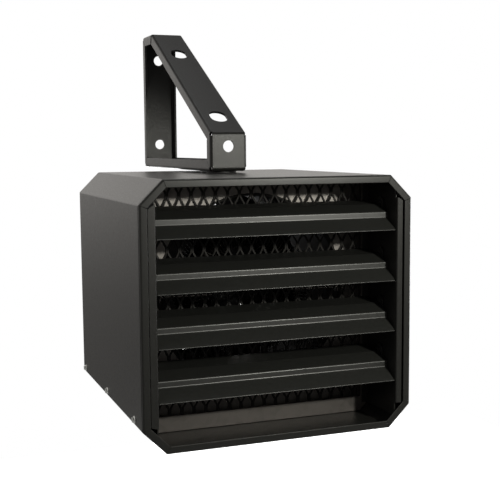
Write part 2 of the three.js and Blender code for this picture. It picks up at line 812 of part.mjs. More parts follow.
// expanded metal: one slit-and-stretched sheet, its long openings upright
function expandedMetal() {
  const half = frameHalf - frameSheet - guardMargin;
  const bottom = frameBottomOpening - guardMargin;
  const top = frameTopOpening + guardMargin * 0.75;
  const loops = [[[-half, bottom], [half, bottom], [half, top], [-half, top]]];
  const run = meshShortWay / 2;
  const rise = meshLongWay / 2;
  const open = 1 - ((meshStrand / 2) * Math.hypot(run, rise)) / (run * rise);
  const opening = { side: run * open, tip: rise * open };
  const edge = meshStrand;
  const rows = Math.ceil((top - bottom) / rise) + 1;
  const columns = Math.ceil(half / meshShortWay) + 1;
  for (let row = -rows; row <= rows; row++) {
    const z = meshRowOffset + row * rise;
    const shift = row % 2 === 0 ? 0 : run;
    const low = Math.max(z - opening.tip, bottom + edge);
    const high = Math.min(z + opening.tip, top - edge);
    if (high - low < rise * 0.5) continue;
    for (let column = -columns; column <= columns; column++) {
      const x = column * meshShortWay + shift;
      if (Math.abs(x) + opening.side + edge > half) continue;
      loops.push(openingLoop(x, z, low, high, opening));
    }
  }
  const sheet = new wasm.CrossSection(loops, 'EvenOdd').extrude(guardThickness);
  return sheet.rotate([90, 0, 0]).translate([0, guardFace + fit + guardThickness, 0]);
}

// one diamond opening, cut level where it would run past the sheet's edge strand
function openingLoop(x, z, low, high, { side, tip }) {
  const end = (level, way) => {
    const w = side * (1 - Math.abs(level - z) / tip);
    return w < 0.1 ? [[x, level]] : [[x - way * w, level], [x + way * w, level]];
  };
  const middle = (way) => (low < z && high > z ? [[x + way * side, z]] : []);
  return [...end(high, 1), ...middle(1), ...end(low, -1), ...middle(-1)];
}

addPiece('outlet_frame', outletFrame(), finish.galvanised);
addPiece('expanded_metal_guard', expandedMetal(), finish.meshSteel);

// ---------------------------------------------------------------- shroud and drum

const elementDepths = Array.from({ length: elementCount },
  (_, i) => shroudFace + firstElementDepth + i * elementPitch);
const legOffset = elementRingRadius * Math.sin(THREE.MathUtils.degToRad(elementGapAngle / 2));

function outletShroud() {
  const half = frameHalf - shroudMargin;
  const bottom = frameBottom + shroudMargin;
  const top = frameFlangeTop;
  const plate = shapeOf([[-half, bottom], [half, bottom], [half, top], [-half, top]]);
  plate.holes.push(circleShape(0, airwayHeight, drumRadius + shroudLip, true));
  const corners = prismY(shapeOf(octagon(cabinetSheet + fit)), shroudFace, drumEnd);
  return prismY(plate, shroudFace + fit, shroudFace + fit + shroudSheet, drumSides / 2)
    .intersect(corners);
}

// round wall behind the plate, flared at its front edge to meet the opening
function shroudDrum() {
  const front = shroudFace + fit;
  const t = shroudSheet;
  const mouth = drumRadius + shroudLip - fit;
  const profile = [
    [mouth - t, front],
    [drumRadius, front + shroudLip],
    [drumRadius, drumEnd],
    [drumRadius + t, drumEnd],
    [drumRadius + t, front + shroudLip],
    [mouth, front + t / 2],
    [mouth - t, front],
  ].map(([r, y]) => new THREE.Vector2(r, y));
  const wall = toSolid(outwardFacing(closedForm(new THREE.LatheGeometry(profile, drumSides))));
  const legHoles = elementDepths.flatMap((y) => [-1, 1].map((side) =>
    bar('z', elementTube / 2 + fit * 2, -drumRadius - 10, -drumRadius + 10, [side * legOffset, y], 8)));
  return onAirway(cut(wall, ...legHoles));
}

addPiece('outlet_shroud', outletShroud(), finish.galvanised);
addPiece('shroud_drum', shroudDrum(), finish.galvanised);

// ---------------------------------------------------------------- heating elements

// finned tube bent round the drum, open at the bottom where both ends turn back
function heatingElement(depth) {
  const gap = THREE.MathUtils.degToRad(elementGapAngle);
  const span = Math.PI * 2 - gap;
  const start = -Math.PI / 2 + gap / 2;
  const stations = [];
  const tube = elementTube / 2;
  const fin = finDiameter / 2;
  const finHalf = finThickness / 2 / elementRingRadius;
  stations.push([0, tube]);
  for (let k = 0; k < finsPerElement; k++) {
    const angle = (span * (k + 0.5)) / finsPerElement;
    stations.push([angle - finHalf, tube], [angle - finHalf, fin]);
    stations.push([angle + finHalf, fin], [angle + finHalf, tube]);
    if (k < finsPerElement - 1) stations.push([(span * (k + 1)) / finsPerElement, tube]);
  }
  stations.push([span, tube]);
  const positions = [];
  for (const [angle, radius] of stations) {
    const a = start + angle;
    for (let k = 0; k < elementSides; k++) {
      const turn = (k * Math.PI * 2) / elementSides;
      const reach = elementRingRadius + radius * Math.cos(turn);
      positions.push(reach * Math.cos(a), depth + radius * Math.sin(turn), reach * Math.sin(a));
    }
  }
  const index = [];
  for (let j = 0; j < stations.length - 1; j++) {
    for (let k = 0; k < elementSides; k++) {
      const k2 = (k + 1) % elementSides;
      const [a, b] = [j * elementSides + k, j * elementSides + k2];
      const [c, d] = [(j + 1) * elementSides + k2, (j + 1) * elementSides + k];
      index.push(a, b, c, a, c, d);
    }
  }
  const last = (stations.length - 1) * elementSides;
  for (let k = 1; k < elementSides - 1; k++) {
    index.push(0, k + 1, k, last, last + k, last + k + 1);
  }
  const geometry = new THREE.BufferGeometry();
  geometry.setAttribute('position', new THREE.Float32BufferAttribute(positions, 3));
  geometry.setIndex(index);
  const ring = toSolid(outwardFacing(geometry));

  // both ends run down through the drum wall to the wiring side
  const legs = [-1, 1].map((side) => {
    const angle = -Math.PI / 2 + (side * gap) / 2;
    const x = elementRingRadius * Math.cos(angle);
    const z = elementRingRadius * Math.sin(angle);
    return bar('z', tube, -drumRadius - shroudSheet - 10, z + tube * 0.4, [x, depth], elementSides);
  });
  return onAirway(join(ring, ...legs));
}

elementDepths.forEach((depth, i) => {
  addPiece(`heating_element_${i + 1}`, heatingElement(depth), finish.darkSheath);
});

// comb plate that holds the rings off the drum wall at each side
function elementSupport(side) {
  const wall = drumRadius - fit;
  const inner = elementRingRadius - finDiameter / 2 - supportReach;
  const y0 = elementDepths[0] - finDiameter / 2 - supportMargin;
  const y1 = elementDepths[elementCount - 1] + finDiameter / 2 + supportMargin;
  const t = supportThickness / 2;
  const chord = Math.sqrt(wall * wall - (supportWidth / 2) ** 2) - fit;
  const plate = block(Math.min(side * inner, side * chord), Math.max(side * inner, side * chord), y0, y1, -t, t);
  const base = chord - supportThickness;
  const foot = block(Math.min(side * base, side * chord), Math.max(side * base, side * chord),
    y0, y1, -supportWidth / 2, supportWidth / 2);
  const holes = elementDepths.map((y) =>
    bar('z', elementTube / 2 + fit * 2, -20, 20, [side * elementRingRadius, y], 12));
  return onAirway(cut(join(plate, foot), ...holes));
}

addPiece('element_support_left', elementSupport(-1), finish.galvanised);
addPiece('element_support_right', elementSupport(1), finish.galvanised);

// ---------------------------------------------------------------- fan, shaft and motor

function fanBlade(turn) {
  const stations = 4;
  const steps = 3;
  const root = hubRadius - bladeRootOverlap;
  const sheetAt = (sign) => {
    const rows = [];
    for (let i = 0; i < stations; i++) {
      const s = i / (stations - 1);
      const radius = THREE.MathUtils.lerp(root, fanRadius, s);
      const chord = THREE.MathUtils.lerp(bladeRootWidth, bladeTipWidth, Math.sqrt(s));
      const pitch = THREE.MathUtils.degToRad(THREE.MathUtils.lerp(bladePitchRoot, bladePitchTip, s));
      const row = [];
      for (let k = 0; k <= steps; k++) {
        const u = k / steps - 0.5;
        const camber = bladeCamber * chord * (1 - 4 * u * u);
        const along = u * chord;
        const y = fanDepth + along * Math.sin(pitch) + (camber + (sign * bladeThickness) / 2) * Math.cos(pitch);
        const sweep = along * Math.cos(pitch) - camber * Math.sin(pitch);
        const rounded = radius - (s === 1 ? bladeTipRounding * Math.abs(2 * u) ** 3 : 0);
        const angle = turn + sweep / radius * 0.9;
        row.push([rounded * Math.cos(angle), y, rounded * Math.sin(angle)]);
      }
      rows.push(row);
    }
    return rows;
  };
  const [front, back] = [sheetAt(-1), sheetAt(1)];
  const positions = [...front, ...back].flat(2);
  const width = steps + 1;
  const at = (sheet, i, k) => (sheet * stations + i) * width + k;
  const index = [];
  const quad = (a, b, c, d) => index.push(a, b, c, a, c, d);
  for (let i = 0; i < stations - 1; i++) {
    for (let k = 0; k < steps; k++) {
      quad(at(0, i, k), at(0, i + 1, k), at(0, i + 1, k + 1), at(0, i, k + 1));
      quad(at(1, i, k), at(1, i, k + 1), at(1, i + 1, k + 1), at(1, i + 1, k));
    }
    quad(at(0, i, 0), at(1, i, 0), at(1, i + 1, 0), at(0, i + 1, 0));
    quad(at(0, i, steps), at(0, i + 1, steps), at(1, i + 1, steps), at(1, i, steps));
  }
  for (let k = 0; k < steps; k++) {
    quad(at(0, 0, k), at(0, 0, k + 1), at(1, 0, k + 1), at(1, 0, k));
    const tip = stations - 1;
    quad(at(0, tip, k), at(1, tip, k), at(1, tip, k + 1), at(0, tip, k + 1));
  }
  const geometry = new THREE.BufferGeometry();
  geometry.setAttribute('position', new THREE.Float32BufferAttribute(positions, 3));
  geometry.setIndex(index);
  return toSolid(outwardFacing(closedForm(geometry)));
}

function axialFan() {
  const y0 = fanDepth - hubLength / 2;
  const y1 = fanDepth + hubLength / 2;
  const hub = bar('y', hubRadius, y0, y1, [0, 0], 16);
  const first = THREE.MathUtils.degToRad(firstBladeAngle);
  const blades = Array.from({ length: bladeCount },
    (_, i) => fanBlade(first + (i * Math.PI * 2) / bladeCount));
  const bore = bar('y', shaftDiameter / 2 + fit, y0 - 5, y1 + 5, [0, 0], 10);
  return onAirway(cut(join(hub, ...blades), bore));
}

function motorShaft() {
  const nose = fanDepth - hubLength / 2 - shaftNose;
  const end = motorFace + shaftSocket - shaftEndGap;
  return onAirway(bar('y', shaftDiameter / 2, nose, end, [0, 0], 10));
}

function fanMotor() {
  const radius = motorDiameter / 2;
  const bell = motorBell;
  const profile = [
    [shaftDiameter / 2 + fit, motorFace - bossLength],
    [bossDiameter / 2, motorFace - bossLength],
    [bossDiameter / 2, motorFace],
    [radius - bell, motorFace],
    [radius, motorFace + bell],
    [radius, motorEnd - bell],
    [radius - bell, motorEnd],
    [0, motorEnd],
    [0, motorFace + shaftSocket],
    [shaftDiameter / 2 + fit, motorFace + shaftSocket],
    [shaftDiameter / 2 + fit, motorFace - bossLength],
  ].map(([r, y]) => new THREE.Vector2(r, y));
  const g = new THREE.LatheGeometry(profile, 16);
  return onAirway(toSolid(outwardFacing(closedForm(g))));
}

addPiece('axial_fan', axialFan(), finish.aluminium);
addPiece('motor_shaft', motorShaft(), finish.zinc);
addPiece('fan_motor', fanMotor(), finish.motorShell);

// upright strap across the intake that carries the motor on its back
function motorStrap() {
  const half = motorStrapWidth / 2;
  const t = motorStrapThickness;
  const plane = cabinetDepth - cabinetSheet;
  const end = halfHeight - cabinetSheet - motorStrapEndInset;
  const top = airwayHeight + intakeRadius + motorStrapStep;
  const bottom = airwayHeight - intakeRadius - motorStrapStep;
  const line = [
    [plane - t, end],
    [plane - t, top],
    [motorEnd, top - motorStrapRamp],
    [motorEnd, bottom + motorStrapRamp],
    [plane - t, bottom],
    [plane - t, -end],
  ];
  return prismX(stripShape(line, t), -half, half);
}

addPiece('motor_strap', motorStrap(), finish.galvanised);

// ---------------------------------------------------------------- rear guard

function ring(radius, y, wire, segments) {
  const g = new THREE.TorusGeometry(radius, wire / 2, 3, segments);
  g.rotateX(Math.PI / 2);
  g.translate(0, y, 0);
  return toSolid(outwardFacing(closedForm(g)));
}

function rearGuard() {
  const outer = intakeRadius + rearGuardMargin;
  const seat = cabinetDepth + rearGuardWire / 2;
  const crown = seat + rearGuardDome;
  const half = rearGuardArmThickness / 2;
  const rings = [ring(outer, seat, rearGuardWire, 16)];
  const step = (outer - rearGuardCentre) / rearGuardRings;
  for (let k = 1; k <= rearGuardRings; k++) {
    const sides = k > rearGuardRings / 2 ? 8 : 12;
    rings.push(ring(outer - rearGuardRingInset - step * k, crown, rearGuardWire, sides));
  }
  const arms = [];
  for (let k = 0; k < rearGuardArms; k++) {
    const line = [
      [outer + rearGuardRingInset / 2, seat + half],
      [outer - rearGuardRingInset, crown + half],
      [outer - rearGuardRingInset - step * rearGuardRings - half, crown + half],
    ];
    const outline = stripShape(line, rearGuardArmThickness);
    const g = new THREE.ExtrudeGeometry(outline, { depth: rearGuardWire, bevelEnabled: false });
    g.translate(0, 0, -rearGuardWire / 2);
    g.rotateY(Math.PI / 4 + (k * Math.PI) / 2);
    arms.push(toSolid(g));
  }
  return onAirway(join(...rings, ...arms));
}

addPiece('rear_guard', rearGuard(), finish.blackTrim);

// ---------------------------------------------------------------- wiring parts

const floorTop = -(halfHeight - cabinetSheet);

function terminalBlock() {
  const [w, d, h] = terminalBlockSize;
  const x = halfWidth - terminalBlockInset[0];
  const y = cabinetDepth - terminalBlockInset[1];
  const base = block(x - w / 2, x + w / 2, y - d / 2, y + d / 2, floorTop, floorTop + h);
  const ways = 4;
  const pitch = w / ways;
  const pockets = [];
  for (let k = 0; k < ways; k++) {
    const left = x - w / 2 + k * pitch + terminalWall;
    pockets.push(block(left, left + pitch - terminalWall * 2, y - d / 2 - 1, y + d / 2 + 1, floorTop + h * 0.55, floorTop + h + 1));
  }
  return cut(base, ...pockets);
}

function contactor() {
  const [w, d, h] = contactorSize;
  const x = -halfWidth + contactorInset[0] + w / 2;
  const y = cabinetDepth - contactorInset[1];
  const [stepX, stepY] = contactorStep;
  const low = block(x - w / 2, x + w / 2, y - d / 2, y + d / 2, floorTop, floorTop + h * 0.6);
  const high = block(x - w / 2 + stepX, x + w / 2 - stepX, y - d / 2 + stepY, y + d / 2 - stepY,
    floorTop + h * 0.5, floorTop + h * 0.75);
  return join(low, high);
}

function limitSwitch() {
  const y0 = shroudFace + fit + shroudSheet;
  const p = [halfWidth - limitSwitchInset[0], halfHeight - limitSwitchInset[1]];
  const [w, h] = limitSwitchBase;
  const base = block(p[0] - w / 2, p[0] + w / 2, y0, y0 + shroudSheet, p[1] - h / 2, p[1] + h / 2);
  const can = bar('y', limitSwitchDiameter / 2, y0, y0 + limitSwitchHeight, p, 14);
  return join(base, can);
}

function cableBushing() {
  const [x, z] = bushingPlace;
  const bore = bushingHole / 2 - bushingWall;
  const collar = bushingHole / 2 - fit;
  const flange = bushingFlange / 2;
  const inner = cabinetDepth - cabinetSheet - bushingDepth;
  const profile = [
    [bore, inner],
    [collar, inner],
    [collar, cabinetDepth],
    [flange, cabinetDepth],
    [flange, cabinetDepth + bushingFlangeThickness],
    [bore, cabinetDepth + bushingFlangeThickness],
    [bore, inner],
  ].map(([r, y]) => new THREE.Vector2(r, y));
  const g = new THREE.LatheGeometry(profile, 12);
  g.translate(x, 0, z);
  return toSolid(outwardFacing(closedForm(g)));
}

addPiece('terminal_block', terminalBlock(), finish.terminalPlastic);
addPiece('contactor', contactor(), finish.plastic);
addPiece('limit_switch', limitSwitch(), finish.aluminium);
addPiece('cable_bushing', cableBushing(), finish.plastic);

export default model;
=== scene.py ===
"""Looks of the ceiling mounted fan heater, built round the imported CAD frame."""

import json
import math

import bmesh
import bpy
from mathutils import Matrix, Vector
from mathutils.geometry import tessellate_polygon


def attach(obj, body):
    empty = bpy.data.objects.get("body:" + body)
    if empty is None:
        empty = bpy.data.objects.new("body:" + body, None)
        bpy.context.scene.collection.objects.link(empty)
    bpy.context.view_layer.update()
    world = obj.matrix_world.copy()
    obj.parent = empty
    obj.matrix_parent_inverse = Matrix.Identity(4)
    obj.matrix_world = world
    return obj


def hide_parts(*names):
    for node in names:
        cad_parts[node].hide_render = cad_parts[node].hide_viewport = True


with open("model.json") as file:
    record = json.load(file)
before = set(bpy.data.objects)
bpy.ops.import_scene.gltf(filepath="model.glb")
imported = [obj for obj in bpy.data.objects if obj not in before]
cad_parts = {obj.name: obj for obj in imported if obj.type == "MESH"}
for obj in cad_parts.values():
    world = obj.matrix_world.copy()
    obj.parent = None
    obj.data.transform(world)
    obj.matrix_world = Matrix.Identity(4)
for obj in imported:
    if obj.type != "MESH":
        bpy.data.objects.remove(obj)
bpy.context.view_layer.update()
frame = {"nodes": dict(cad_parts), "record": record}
scene = bpy.context.scene

# ------------------------------------------------------------------ places and sizes (mm)
# Shapes are written in the heater's own frame: origin at the centre of the cabinet's front
# face, X right, Y to the rear, Z up. The part's origin is on the bracket's wall plate.

MM = 0.001
TO_PART = Matrix.Translation((0, -0.516, -0.2555)) @ Matrix.Scale(MM, 4)
SIDES = ((-1, "left"), (1, "right"))

# Meshes: welding distance, angles in degrees, and the radius that closes a turned profile
WELD, SMOOTH_ANGLE, BEVEL_ANGLE, BEVEL_SEGMENTS = 0.002, 32, 50, 2
CORE = 0.01

# Finishes: the part of a noise's range that is used, and how much a zinc spangle adds to it
NOISE_LOW, NOISE_HIGH, SPANGLE_SHARE = 0.3, 0.7, 0.35

# Cabinet
HALF_W, HALF_H, DEPTH, CHAMFER = 165.0, 151.5, 333.0, 27.0
SHEET, FIT = 1.5, 0.3
SIDE_EDGE = -(HALF_H - CHAMFER)
RIM, RIM_BEND, RIM_BACK, SEAM = 9.0, 2.5, 6.0, 0.12
WALL_FRONT, WALL_BEND = 3.2, 3.5
SIDE_FLANGE, UNDER_GAP = 50.0, 0.2
LAP_Y = (12, 308)
REAR_FACE, REAR_FLANGE = DEPTH - SHEET, 22.0
AXIS_Z = 8.0
INTAKE_R, INTAKE_EDGE = 116.0, 3.5
BUSHING_X, BUSHING_Z, BUSHING_HOLE = 118.0, -112.0, 11.0
SCREW_Y, SCREW_RISE = (39, 180, 318), 5.4
SCREW_ACROSS, SCREW_TOP, SCREW_SLOT, SLOT_FLOOR = 5.6, 3.0, 0.5, 2.1

# Bracket: one strap folded round a loop of (Y, Z) corners, with its side BRACE sloping
STRAP_Y0, STRAP_Y1, STRAP_Z0, STRAP_Z1 = 180.0, 516.0, 154.0, 357.0
TOP_PLATE, SQUARE_PLATE = 53.0, 49.5
LOOP = [(STRAP_Y0, STRAP_Z0), (STRAP_Y1, STRAP_Z0), (STRAP_Y1, STRAP_Z1),
        (STRAP_Y1 - TOP_PLATE, STRAP_Z1), (STRAP_Y0, STRAP_Z0 + SQUARE_PLATE)]
BRACE, BRACE_TUCK = 3, 0.6
STRAP_T, STRAP_HALF, BEND = 3.0, 25.0, 5.0
FLANGE, FLANGE_ROUND, EDGE_R, SLIT = 14.5, 0.4, 3.5, 0.35
HOLE_R, WALL_HOLE, SQUARE_HOLE = 7.5, 35.5, 32.0
SLOT_W, SLOT_L, SLOT_STATIONS = 23.0, 30.0, (46, 249)
PUNCH = 8.0
BOLT_Y, BOLT_HOLE_R, BOLT_R, BOLT_END = 212.0, 5.3, 5, 133.5
BOLT_ACROSS, BOLT_HEAD, WASHER_T, WASHER_R, WIDE_WASHER_R = 17, 6.4, 2, 12, 20

# Louvres and side channels; a blade's section is (Y, Z) from its pins, rear edge first
PIVOT_Y = 40.0
PIVOTS = [117.5 - 60.4 * i for i in range(4)]
BLADE = [(35, 0.5), (2, -2.5), (-18.5, -10.5), (-18.5, -17.7), (-37, -30.5)]
BLADE_BEND, HEM_R, HEM = 2.0, 0.6, 4.5
CHANNEL_X, CHANNEL_T, CHANNEL_SPLIT, CHANNEL_END = 146.5, 1.5, 5.0, 98.0
CHANNEL_FRONT, CHANNEL_REAR, REAR_T = 0.6, 75.8, 0.9
WEB_REACH, FRONT_LOW, FRONT_HIGH = 139.0, -121.8, 124.8
FRONT_EDGES = (155.4, 153.7)
LOUVRE_T, LOUVRE_HALF = 1.0, CHANNEL_X - 1.2
EAR_X, EAR_R, EAR_FRONT, EAR_BACK = LOUVRE_HALF - LOUVRE_T, 7.0, 6.5, 2.6

# Outlet frame, shroud plate and drum
PLATE_T = 1.2
FRAME_Y, FRAME_DEPTH, FRAME_LOW, FRAME_HIGH = 77.0, 21.0, -149.7, 146.0
OPEN_X, OPEN_LOW, OPEN_HIGH, OPEN_R = 136, -129, 137, 2
SHROUD_Y, SHROUD_HALF, SHROUD_LOW, SHROUD_LIP = 98.3, 145.2, -148.7, 4.0
DRUM_R, DRUM_END = 118.0, 238.0

# Expanded metal: opening pitches, strand width, sheet thickness, half a bond, twist, extent
SHORT_WAY, LONG_WAY, STRAND, MESH_T, BOND = 15.0, 32.0, 2.5, 1.25, 3.0
TWIST, STRAND_ROUND, MESH_PHASE = math.radians(24), 0.22, 2.0
MESH_HALF, MESH_LOW, MESH_HIGH, MESH_Y, MESH_EDGE_R = 141.0, -135.0, 142.0, 79.25, 1.2

# Heating elements
RING_R, RING_GAP, RING_STEPS = 68.0, math.radians(40.0), 72
RING_Y = [117.0, 146.0, 175.0]
TUBE_R, FIN_R, FIN_HALF_T, FIN_COUNT, FIN_SIDES = 4.3, 12.8, 0.25, 92, 18
LEAD_DROP, SUPPORT_GAP = 11.0, 0.02

# Fan, motor and rear guard; pitches in degrees
BLADES, FIRST_BLADE, FAN_Y, FAN_R, ROOT_R = 5, math.radians(60), 220.0, 112.0, 26.0
ROOT_CHORD, MORE_CHORD, ROOT_PITCH, LESS_PITCH = 52, 73, 38, 16
CAMBER, BLADE_HALF_T, WRAP, TIP_ROUND = 0.11, 0.7, 0.9, 30
STATIONS, CHORD_STEPS = 14, 14
RAIL_T, RAIL_HALF = 2.5, 17
GUARD_R, GUARD_RINGS, GUARD_INNER = INTAKE_R + 6, 14, 26
GUARD_SEAT, GUARD_CROWN = DEPTH + 1.5, DEPTH + 8.5
RIM_WIRE_R, RING_WIRE_R, SPOKE_R = 1.5, 1.2, 1.3

# Camera, as fitted to the photo: two lengths in pixels, the sensor in mm, turns in degrees
PHOTO_WIDTH, FOCAL_LENGTH, SENSOR = 500, 971.63, 36.0
CAMERA_TURN = (20.538, -6.141, -0.449)
CAMERA_AT = (-416.28, -1006.38, 186.87)


# ------------------------------------------------------------------ mesh helpers

def smooth(me, angle=SMOOTH_ANGLE):
    me.polygons.foreach_set("use_smooth", [True] * len(me.polygons))
    me.set_sharp_from_angle(angle=math.radians(angle))


def weigh_normals(ob):
    ob.modifiers.new("normals", "WEIGHTED_NORMAL").keep_sharp = True


class Shape:
    """Points and faces gathered for one piece."""

    def __init__(self):
        self.verts = []
        self.faces = []

    def add(self, verts, faces):
        base = len(self.verts)
        self.verts += [tuple(v) for v in verts]
        self.faces += [tuple(i + base for i in f) for f in faces]
        return self

    def rows(self, rows, wrap_rows=False, wrap_cols=False, caps=False):
        """A grid of points; the caps close the first and last column."""
        n = len(rows[0])
        count = len(rows)
        faces = []
        for j in range(count if wrap_rows else count - 1):
            for i in range(n if wrap_cols else n - 1):
                j2, i2 = (j + 1) % count, (i + 1) % n
                faces.append((j * n + i, j * n + i2, j2 * n + i2, j2 * n + i))
        if caps:
            faces.append(tuple(j * n for j in range(count)))
            faces.append(tuple(j * n + n - 1 for j in reversed(range(count))))
        return self.add([p for row in rows for p in row], faces)

    def plate(self, loops, place, a, b):
        """An outline with holes, made solid between two levels."""
        base = [Vector((u, v, 0)) for loop in loops for u, v in loop]
        n = len(base)
        tris = tessellate_polygon([[Vector((u, v, 0)) for u, v in loop] for loop in loops])
        verts = [place(p.x, p.y, a) for p in base] + [place(p.x, p.y, b) for p in base]
        faces = [tuple(t) for t in tris] + [tuple(i + n for i in reversed(t)) for t in tris]
        start = 0
        for loop in loops:
            k = len(loop)
            for i in range(k):
                i2 = (i + 1) % k
                faces.append((start + i, start + i2, start + i2 + n, start + i + n))
            start += k
        return self.add(verts, faces)

    def lathe(self, profile, sides, place):
        """A closed profile of (radius, level) turned round an axis."""
        turns = [math.tau * k / sides for k in range(sides)]
        rows = [[place(*polar(r, t), h) for t in turns] for r, h in profile]
        return self.rows(rows, wrap_rows=True, wrap_cols=True)

    def tube(self, points, radius, sides=8, closed=False):
        """A round bar that follows a line of points."""
        pts = [Vector(p) for p in points]
        n = len(pts)
        rows = [[] for _ in range(sides)]
        up = None
        for i, p in enumerate(pts):
            before = pts[i - 1] if (i or closed) else p
            after = pts[(i + 1) % n] if (i < n - 1 or closed) else p
            t = (after - before).normalized()
            if up is None:
                up = t.orthogonal().normalized()
            up = (up - t * up.dot(t)).normalized()
            side = t.cross(up)
            for k in range(sides):
                a, b = polar(radius, math.tau * k / sides)
                rows[k].append(p + up * a + side * b)
        return self.rows(rows, wrap_rows=True, wrap_cols=closed, caps=not closed)

    def piece(self, name, body=None, finish=None, angle=SMOOTH_ANGLE, bevel=0.0):
        """An object of these points, shaded smooth between edges sharper than the angle."""
        me = bpy.data.meshes.new(name)
        me.from_pydata([Vector(v) for v in self.verts], [], self.faces)
        bm = bmesh.new()
        bm.from_mesh(me)
        bmesh.ops.remove_doubles(bm, verts=bm.verts, dist=WELD)
        bmesh.ops.recalc_face_normals(bm, faces=bm.faces)
        bm.to_mesh(me)
        bm.free()
        me.transform(TO_PART)
        smooth(me, angle)
        ob = bpy.data.objects.new(name, me)
        scene.collection.objects.link(ob)
        if finish:
            me.materials.append(finish)
        if bevel:
            mod = ob.modifiers.new("edges", "BEVEL")
            mod.width = bevel * MM
            mod.segments = BEVEL_SEGMENTS
            mod.limit_method = "ANGLE"
            mod.angle_limit = math.radians(BEVEL_ANGLE)
        weigh_normals(ob)
        if body:
            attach(ob, body)
        return ob


# Place functions turn an outline's (u, v) and a level into a point of the heater's frame.

def on_x(u, v, h):
    return (h, u, v)


def on_y(u, v, h):
    return (u, h, v)


def on_z(u, v, h):
    return (u, v, h)


def on_air(u, v, h):
    """Round the fan's axis, with levels to the rear."""
    return (u, h, v + AXIS_Z)


def at_bolt(u, v, h):
    return (u, BOLT_Y + v, h)


def at_bushing(u, v, h):
    return (BUSHING_X + u, h, BUSHING_Z + v)


def beside(side, x, out, y, z):
    """Round an axis along X: levels start at x on either side and run outward or inward."""
    def place(u, v, h):
        return (side * (x + out * h), y + side * u, z + v)
    return place


def polar(r, a):
    return (r * math.cos(a), r * math.sin(a))


def turned(centre, start, a):
    """Where a point that starts off the centre by a given step is after a turn."""
    c, s = math.cos(a), math.sin(a)
    return (centre.x + start.x * c - start.y * s, centre.y + start.x * s + start.y * c)


def circle(cx, cy, r, n=48):
    turns = [math.tau * k / n for k in range(n)]
    return [(cx + r * math.cos(t), cy + r * math.sin(t)) for t in turns]


def arc(cx, cy, r, a0, a1, n):
    turns = [math.radians(a0 + (a1 - a0) * k / n) for k in range(n + 1)]
    return [(cx + r * math.cos(t), cy + r * math.sin(t)) for t in turns]


def inset_corner(before, corner, after, d):
    """Where a corner lands when both of its sides move left by d."""
    b, c, a = Vector(before), Vector(corner), Vector(after)
    u, v = (c - b).normalized(), (a - c).normalized()
    nu, nv = Vector((-u.y, u.x)), Vector((-v.y, v.x))
    return c + (nu + nv) * (d / (1 + nu.dot(nv)))


def inset(loop, d):
    """A closed loop with all of its sides moved left by d."""
    return [tuple(inset_corner(loop[i - 1], p, loop[(i + 1) % len(loop)], d))
            for i, p in enumerate(loop)]


def octagon(d=0.0):
    """The cabinet's outline, anticlockwise from the left side's lower corner."""
    w, h, c = HALF_W, HALF_H, CHAMFER
    return inset([(-w, -h + c), (-w + c, -h), (w - c, -h), (w, -h + c),
                  (w, h - c), (w - c, h), (-w + c, h), (-w, h - c)], d)


def chamfer_sum(d):
    """X + Z along an upper chamfer of the outline inset by d."""
    return sum(octagon(d)[4])


def clipped_square(h, low, high, total):
    """An upright rectangle with all four corners cut to the cabinet's chamfers."""
    return [(-total - low, low), (total + low, low), (h, h - total), (h, total - h),
            (total - high, high), (high - total, high), (-h, total - h), (-h, h - total)]


def bent(path, section, radius, segments, closed, place):
    """Bent sheet: a section of (inset, level) carried round a path with rounded corners."""
    n = len(path)

    def line(d):
        pts = []
        for i in range(n) if closed else range(1, n - 1):
            before, after = path[(i - 1) % n], path[(i + 1) % n]
            bend = closed or 1 < i < n - 2
            at = inset_corner(before, path[i], after, max(d, radius if bend else d))
            if not bend:
                pts.append((at.x, at.y))
                continue
            u = (Vector(path[i]) - Vector(before)).normalized()
            v = (Vector(after) - Vector(path[i])).normalized()
            a0 = math.atan2(-u.x, u.y)
            turn = (math.atan2(-v.x, v.y) - a0) % math.tau
            reach = max(radius - d, 0)
            for k in range(segments + 1):
                a = a0 + turn * k / segments
                pts.append((at.x + reach * math.cos(a), at.y + reach * math.sin(a)))
        return pts

    rows = [[place(u, v, h) for u, v in line(d)] for d, h in section]
    return Shape().rows(rows, wrap_rows=True, wrap_cols=closed, caps=not closed)


def fillet(points, radius, n=5):
    """Rounds the inner corners of an open line, unless they are nearly straight."""
    straight, share = 0.02, 0.45
    out = [points[0]]
    for i in range(1, len(points) - 1):
        p, a, b = Vector(points[i]), Vector(points[i - 1]), Vector(points[i + 1])
        u, v = (p - a).normalized(), (b - p).normalized()
        turn = u.angle(v)
        if turn < straight:
            out.append(points[i])
            continue
        t = min(radius * math.tan(turn / 2), (p - a).length * share, (b - p).length * share)
        r = t / math.tan(turn / 2)
        side = 1 if u.x * v.y - u.y * v.x > 0 else -1
        centre = p - u * t + Vector((-u.y, u.x)) * (r * side)
        start = (p - u * t) - centre
        out += [turned(centre, start, side * turn * k / n) for k in range(n + 1)]
    out.append(points[-1])
    return out


def thick(points, t):
    """A closed outline: an open line and its copy moved left by t."""
    n = len(points)
    other = []
    for i, p in enumerate(points):
        c = Vector(p)
        b = Vector(points[i - 1]) if i else c * 2 - Vector(points[1])
        a = Vector(points[i + 1]) if i < n - 1 else c * 2 - Vector(points[i - 1])
        other.append(tuple(inset_corner(b, c, a, t)))
    return list(points) + other[::-1]


def strip(points, t, place, a, b):
    """A bent strip of sheet: its line thickened to the left, solid between two levels."""
    outline = thick(points, t)
    verts = [place(u, v, a) for u, v in outline] + [place(u, v, b) for u, v in outline]
    m = len(outline)
    faces = [(i, (i + 1) % m, (i + 1) % m + m, i + m) for i in range(m)]
    for i in range(len(points) - 1):
        j = m - 1 - i
        faces.append((i, i + 1, j - 1, j))
        faces.append((i + m, j + m, j - 1 + m, i + 1 + m))
    return Shape().add(verts, faces)


